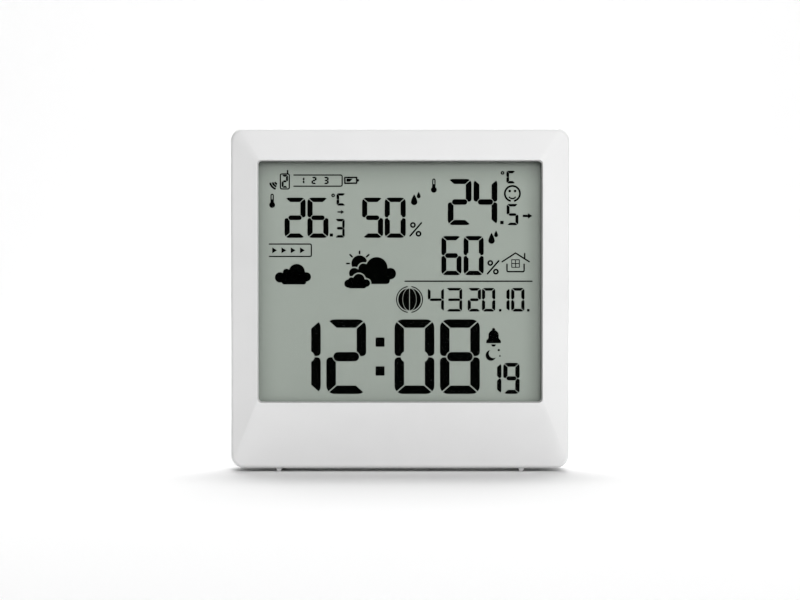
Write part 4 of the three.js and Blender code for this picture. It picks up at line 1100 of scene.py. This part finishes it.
class STATION_OT_keys(bpy.types.Operator):
    """Push buttons on the back, the key on the top, and the switches under them"""

    bl_idname = "station.keys"
    bl_label = "Keys and switches"

    lip: FloatProperty(
        name="Lip", description="Width and thickness of the lip that holds a key in",
        default=1.0 * MM, unit="LENGTH",
    )
    crown: FloatProperty(
        name="Edge rounding", description="Radius round a key's face", default=0.5 * MM, unit="LENGTH"
    )

    def execute(self, context):
        keys = key_abs(tuple(context.scene.station_body.key_colour))
        for index in range(1, 7):
            self.button(index, keys)
        self.top_key(keys)
        black = dull_plastic("black_switch_nylon", "#1F2022")
        pale = dull_plastic("ivory_switch_nylon", "#D9D8CF")
        dress(black, *[f"switch_body_{index}" for index in range(1, 8)])
        dress(pale, *[f"switch_plunger_{index}" for index in range(1, 8)])
        return {"FINISHED"}

    def cap(self, bm, outline, lip_top, top, place):
        """A key's rounded cap, with a slightly domed face, over the lip that holds the key in."""
        inside = grow(outline, -self.lip)
        radius = end_radius(inside)
        weld, dome, flat_share = 0.2 * MM, 0.12 * MM, 0.6
        loops = [rounded_loop(bm, inside, radius, place(lip_top - weld), KEY_STEPS)]
        steps = 5
        for step in range(steps + 1):
            angle = math.radians(90) * step / steps
            inset = self.crown * (1 - math.cos(angle))
            level = top - dome - self.crown * (1 - math.sin(angle))
            loops.append(rounded_loop(bm, grow(inside, -inset), radius - inset, place(level), KEY_STEPS))
        inset = flat_share * radius
        loops.append(rounded_loop(bm, grow(inside, -inset), radius - inset, place(top), KEY_STEPS))
        bridge(bm, loops)
        slab(bm, outline, end_radius(outline), (lip_top - self.lip, lip_top), place, KEY_STEPS)

    def button(self, index, material):
        """A button's cap and lip, and the round stem that reaches its switch."""
        node = f"button_{index}"
        low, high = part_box(node)
        lip_back = high.y - 3.5 * MM
        bm = bmesh.new()
        self.cap(bm, (low.x, high.x, low.z, high.z), lip_back, high.y, at_depth)
        stem = (lip_back - low.y) / 2
        centre = ((low.x + high.x) / 2, low.y + stem, (low.z + high.z) / 2)
        round_post(bm, 1.5 * MM, centre, 2 * stem)
        piece(bm, f"push_button_{index}", material, node, replaces=[node])

    def top_key(self, material):
        """The top key's cap and lip, its stem, and the arm that reaches forward to its switch."""
        low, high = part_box("snooze_key")
        outline = (low.x, high.x, high.y - 6.9 * MM, high.y)
        lip_top = high.z - 3.05 * MM
        bm = bmesh.new()
        self.cap(bm, outline, lip_top, high.z, at_height)
        half, stem_depth, arm_height = 1.6 * MM, 2.4 * MM, 1.4 * MM
        middle = (outline[2] + outline[3]) / 2
        stem = (-half, half, middle - stem_depth, middle)
        arm = (-half, half, low.y, middle)
        for shape, top in ((stem, lip_top), (arm, low.z + arm_height)):
            slab(bm, shape, 0.2 * MM, (low.z, top), at_height, 3)
        piece(bm, "top_key", material, "snooze_key", replaces=["snooze_key"])


def spun(bm, profile, axis, steps=40):
    """A closed turned form. The profile is (radius, place along the axis) from pole to pole."""
    out = Vector((0, 0, 1)) if axis.x else Vector((1, 0, 0))
    verts = [bm.verts.new(out * radius + axis * along) for radius, along in profile]
    edges = [bm.edges.new(pair) for pair in zip(verts, verts[1:])]
    before = set(bm.faces)
    bmesh.ops.spin(
        bm, geom=verts + edges, cent=(0, 0, 0), axis=axis, angle=math.radians(360), steps=steps,
        use_merge=True, use_duplicate=False,
    )
    bmesh.ops.remove_doubles(bm, verts=bm.verts, dist=0.001 * MM)
    return [f for f in bm.faces if f not in before]


class STATION_OT_screws(bpy.types.Operator):
    """Cross-head screws: pan heads with a tapered recess and a rolled thread"""

    bl_idname = "station.screws"
    bl_label = "Screws"

    def execute(self, context):
        steel = rolled_metal("zinc_plated_screw_steel", "#B4B7BA", 1, 0.28)
        for group, share, head_height in (("case", 1.2 / 2.1, 1.5 * MM), ("board", 0.9 / 1.7, 1.3 * MM)):
            for index in range(1, 5):
                self.screw(f"{group}_screw_{index}", share, head_height, steel)
        return {"FINISHED"}

    def screw(self, node, share, head_height, steel):
        """One screw. share is its shaft's radius over its head's."""
        low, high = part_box(node)
        head = (high.x - low.x) / 2
        shaft = head * share
        length = high.y - low.y
        seat = length - head_height
        along = Vector((0, 1, 0))
        core = shaft * 0.82
        bm = bmesh.new()
        dome = [
            (head * math.cos(a), seat + head_height * (0.45 + 0.55 * math.sin(a)))
            for a in (math.radians(90 * step / 6) for step in range(6))
        ]
        profile = [(0, 0), (core * 0.5, 0.1 * MM), (core, shaft), (core, seat), (head, seat)]
        spun(bm, profile + dome + [(0, length)], along)
        recess = bmesh.new()
        for turn in (0, 90):
            place = Matrix.Translation((0, length, 0)) @ Matrix.Rotation(math.radians(turn), 4, "Y")
            size = Matrix.Diagonal((head * 1.15, head_height * 1.3, head * 0.3, 1))
            bmesh.ops.create_cube(recess, size=1, matrix=place @ size)
        bm = combine(bm, recess, "DIFFERENCE")
        pitch, ridge_half, turn_steps = 0.9 * MM, 0.22 * MM, 20
        turns = int((seat - 1.6 * shaft) / pitch)
        ridge = [(core * 0.98, -ridge_half), (shaft, 0), (core * 0.98, ridge_half)]
        verts = [bm.verts.new((r, shaft + pitch * 0.3 + y, 0)) for r, y in ridge]
        edges = [bm.edges.new(pair) for pair in zip(verts, verts[1:] + verts[:1])]
        steps = turns * turn_steps
        bmesh.ops.spin(
            bm, geom=verts + edges, cent=(0, 0, 0), axis=along, dvec=along * (pitch * turns / steps),
            angle=math.radians(360 * turns), steps=steps, use_merge=False, use_duplicate=False,
        )
        bmesh.ops.holes_fill(bm, edges=[e for e in bm.edges if e.is_boundary], sides=3)
        centre = middle_of(node)
        bmesh.ops.translate(bm, verts=bm.verts, vec=(centre.x, low.y, centre.z))
        piece(bm, f"cross_{node}", steel, HOUSING, replaces=[node])


class STATION_OT_cells(bpy.types.Operator):
    """Two cells: crimped steel cans in printed film with a band at the positive end"""

    bl_idname = "station.cells"
    bl_label = "Cells"

    def execute(self, context):
        jacket = cell_film("grey_printed_film", "#3E4A55")
        band = cell_film("orange_printed_film", "#D8882B")
        steel = rolled_metal("nickel_plated_can", "#C9CAC6", 0, 0.22)
        band_start = 33 * MM
        for node, turned in (("battery_upper", False), ("battery_lower", True)):
            low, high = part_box(node)
            radius = (high.z - low.z) / 2
            length = high.x - low.x
            crimp = length - 1.0 * MM
            profile = [
                (0, 0.25 * MM), (radius * 0.78, 0.25 * MM), (radius * 0.82, 0), (radius * 0.93, 0.05 * MM),
                (radius, 0.5 * MM), (radius, band_start), (radius, crimp - 0.7 * MM),
                (radius * 0.95, crimp - 0.1 * MM), (radius * 0.8, crimp), (radius * 0.74, crimp - 0.4 * MM),
                (radius * 0.42, crimp - 0.35 * MM), (1.9 * MM, crimp + 0.2 * MM),
                (1.8 * MM, length - 0.15 * MM), (1.5 * MM, length), (0, length),
            ]
            bm = bmesh.new()
            for face in spun(bm, profile, Vector((1, 0, 0)), 56):
                place = face.calc_center_median()
                on_film = math.hypot(place.y, place.z) > radius * 0.96
                face.material_index = 0 if not on_film else 2 if place.x > band_start else 1
            if turned:
                half_turn = Matrix.Rotation(math.pi, 3, "Z")
                bmesh.ops.rotate(bm, verts=bm.verts, cent=(length / 2, 0, 0), matrix=half_turn)
            centre = middle_of(node)
            bmesh.ops.translate(bm, verts=bm.verts, vec=(low.x, centre.y, centre.z))
            piece(bm, f"jacketed_{node}", [steel, jacket, band], HOUSING, replaces=[node])
        return {"FINISHED"}


class STATION_OT_contacts(bpy.types.Operator):
    """Battery contacts: nickel-plated plates with conical springs, and the leads to the board"""

    bl_idname = "station.contacts"
    bl_label = "Contacts and leads"

    wire: FloatProperty(
        name="Spring wire radius", description="Half the thickness of the contacts' wire",
        default=0.25 * MM, unit="LENGTH",
    )

    def execute(self, context):
        nickel = rolled_metal("nickel_plated_spring_steel", "#CFD0CB", 2, 0.2)
        dress(nickel, "link_contact", "positive_contact", "negative_contact")
        self.contact("link_contact", "battery_upper", 1, nickel)
        self.contact("negative_contact", "battery_lower", -1, nickel)
        dress(dull_plastic("red_lead_sleeve", "#B0231D"), "lead_positive")
        dress(dull_plastic("black_lead_sleeve", "#1C1C1E"), "lead_negative")
        return {"FINISHED"}

    def contact(self, node, cell, side, nickel):
        """The plate of the CAD node with a smooth conical spring in place of its faceted one."""
        low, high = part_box(node)
        axis = middle_of(cell)
        plate = low.x if side > 0 else high.x
        thickness = 0.4 * MM
        start = plate + side * thickness
        bm = bmesh.new()
        self.spring(bm, axis, start, side, (high.x - low.x) - thickness)
        outline = (axis.y - 4 * MM, axis.y + 4 * MM, low.z, high.z)
        faces = [min(plate, start), max(plate, start)]
        slab(bm, outline, 0.8 * MM, faces, at_side, 5)
        if node == "negative_contact":
            tail = (low.y, axis.y, axis.z - 1.5 * MM, axis.z + 1.5 * MM)
            slab(bm, tail, 0.3 * MM, faces, at_side, 3)
        piece(bm, f"sprung_{node}", nickel, HOUSING, replaces=[node])

    def spring(self, bm, axis, start, side, reach):
        """A conical coil that starts on the plate and reaches towards the cell."""
        curve = bpy.data.curves.new("spring_path", "CURVE")
        curve.dimensions = "3D"
        curve.bevel_depth = self.wire
        curve.bevel_resolution = 4
        curve.use_fill_caps = True
        turns, each = 3, 24
        widest, narrowing = 3.6, 2.0
        path = curve.splines.new("POLY")
        path.points.add(turns * each)
        for index, spot in enumerate(path.points):
            share = index / (turns * each)
            radius = (widest - narrowing * share) * MM
            angle = 2 * math.pi * turns * share
            x = start + side * (self.wire * 0.6 + (reach - 1.6 * self.wire) * share)
            spot.co = (x, axis.y + radius * math.cos(angle), axis.z + radius * math.sin(angle), 1)
        coil = new_object("spring_path", curve)
        bpy.context.view_layer.update()
        mesh = bpy.data.meshes.new_from_object(coil)
        bm.from_mesh(mesh)
        bpy.data.objects.remove(coil)
        bpy.data.curves.remove(curve)
        bpy.data.meshes.remove(mesh)


class STATION_OT_electronics(bpy.types.Operator):
    """Board and the parts on it"""

    bl_idname = "station.electronics"
    bl_label = "Board and its parts"

    def execute(self, context):
        dress(solder_mask(), "main_board", "receiver_board")
        dress(glossy_plastic("black_casting_epoxy", "#101113"), "chip_blob")
        dress(rolled_metal("drawn_nickel_can", "#C8C9C5", 2, 0.2), "clock_crystal")
        dress(glossy_plastic("blue_shrink_sleeve", "#232C4C"), "smoothing_capacitor")
        dress(dull_plastic("black_buzzer_pbt", "#1B1B1D"), "buzzer")
        dress(dull_plastic("white_sensor_abs", "#E4E4DE"), "climate_sensor")
        dress(rolled_metal("enamelled_copper", "#B46A3C", 2, 0.25), "receiver_antenna")
        return {"FINISHED"}


class STATION_OT_studio(bpy.types.Operator):
    """White sweep, softboxes and the camera of the catalogue picture"""

    bl_idname = "station.studio"
    bl_label = "Studio"

    def execute(self, context):
        scene = context.scene
        studio = scene.station_studio
        self.floor(studio.floor_size)
        station, wall = Vector((0, 0, 0.06)), Vector((0, studio.floor_size / 4, 0.9))
        self.softbox("key_light", (1.7, -1.1, 0.6), station, 0.8, studio.key_power)
        self.softbox("front_light", (0.45, -2.2, 1.05), station, 0.9, studio.front_power)
        self.softbox("back_light", (0, 0.9, 1.5), station, 1.0, studio.back_power)
        self.softbox("wall_light", (0, 0.7, 2.2), wall, 1.5, studio.wall_power)
        scene.world = bpy.data.worlds.new("studio_air")
        scene.world.use_nodes = True
        air = scene.world.node_tree.nodes["Background"].inputs
        air["Color"].default_value = linear("#FFFFFF")
        air["Strength"].default_value = studio.air_strength
        scene.view_settings.view_transform = "Standard"
        scene.view_settings.exposure = studio.exposure
        self.camera(scene, studio)
        return {"FINISHED"}

    def floor(self, size):
        """A flat floor that sweeps up behind into a wall."""
        bm = bmesh.new()
        half, back, bend, wall = size / 2, size / 4, 0.6, 2.5

        def pull(edges, vec):
            moved = bmesh.ops.extrude_edge_only(bm, edges=edges)["geom"]
            ends = [v for v in moved if isinstance(v, bmesh.types.BMVert)]
            bmesh.ops.translate(bm, verts=ends, vec=vec)
            return [e for e in moved if isinstance(e, bmesh.types.BMEdge) and e.is_boundary]

        verts = [bm.verts.new((side * half, -half, 0)) for side in (-1, 1)]
        far = pull([bm.edges.new(verts)], (0, half + back, 0))
        far = [e for e in far if all(abs(v.co.y - back) < 1e-6 for v in e.verts)]
        swept = bmesh.ops.spin(
            bm, geom=far, cent=(0, back, bend), axis=(1, 0, 0), angle=math.radians(90), steps=16,
            use_merge=False, use_duplicate=False,
        )
        pull([e for e in swept["geom_last"] if isinstance(e, bmesh.types.BMEdge)], (0, 0, wall))
        for face in bm.faces:
            face.smooth = True
        sweep = new_object("paper_sweep", mesh_of(bm, "paper_sweep"))
        sweep.data.materials.append(paper_sweep())

    def softbox(self, name, place, target, size, power):
        lamp = bpy.data.lights.new(name, "AREA")
        lamp.size, lamp.energy = size, power
        box = new_object(name, lamp)
        box.location = place
        box.rotation_euler = (target - Vector(place)).to_track_quat("-Z", "Y").to_euler()

    def camera(self, scene, studio):
        picture_width = 800
        lens = bpy.data.cameras.new("catalogue_camera")
        lens.sensor_width = 36
        lens.lens = studio.pixels_per_mm * studio.camera_distance / MM * lens.sensor_width / picture_width
        lens.clip_start, lens.clip_end = 0.01, 50
        eye = new_object("catalogue_camera", lens)
        eye.location = (0, cad_low.y - studio.camera_distance, studio.camera_height)
        fall = studio.camera_height - studio.picture_middle
        eye.rotation_euler = (math.radians(90) - math.atan2(fall, studio.camera_distance), 0, 0)
        scene.camera = eye


PIECES = (
    STATION_OT_front_frame,
    STATION_OT_rear_shell,
    STATION_OT_display_layers,
    STATION_OT_number_signs,
    STATION_OT_picture_signs,
    STATION_OT_keys,
    STATION_OT_screws,
    STATION_OT_cells,
    STATION_OT_contacts,
    STATION_OT_electronics,
    STATION_OT_studio,
)


GROUPS = {"station_body": StationBody, "station_display": StationDisplay, "station_studio": StationStudio}


class STATION_PT_sidebar(bpy.types.Panel):
    """Lists the settings, and the pieces in the order in which they are made"""

    bl_label = "Weather station"
    bl_idname = "STATION_PT_sidebar"
    bl_space_type = "VIEW_3D"
    bl_region_type = "UI"
    bl_category = "Station"

    def draw(self, context):
        for group in GROUPS:
            settings = getattr(context.scene, group)
            box = self.layout.box()
            for name in settings.bl_rna.properties.keys():
                if name not in ("rna_type", "name"):
                    box.prop(settings, name)
        for operator in PIECES:
            self.layout.operator(operator.bl_idname)


CLASSES = (*GROUPS.values(), *PIECES, STATION_PT_sidebar)


def register():
    for each in CLASSES:
        bpy.utils.register_class(each)
    for group, settings in GROUPS.items():
        setattr(bpy.types.Scene, group, PointerProperty(type=settings))


def unregister():
    for group in GROUPS:
        delattr(bpy.types.Scene, group)
    for each in reversed(CLASSES):
        bpy.utils.unregister_class(each)


def main():
    """Makes the pieces in order."""
    register()
    for operator in PIECES:
        group, name = operator.bl_idname.split(".")
        getattr(getattr(bpy.ops, group), name)()


if __name__ == "__main__":
    main()
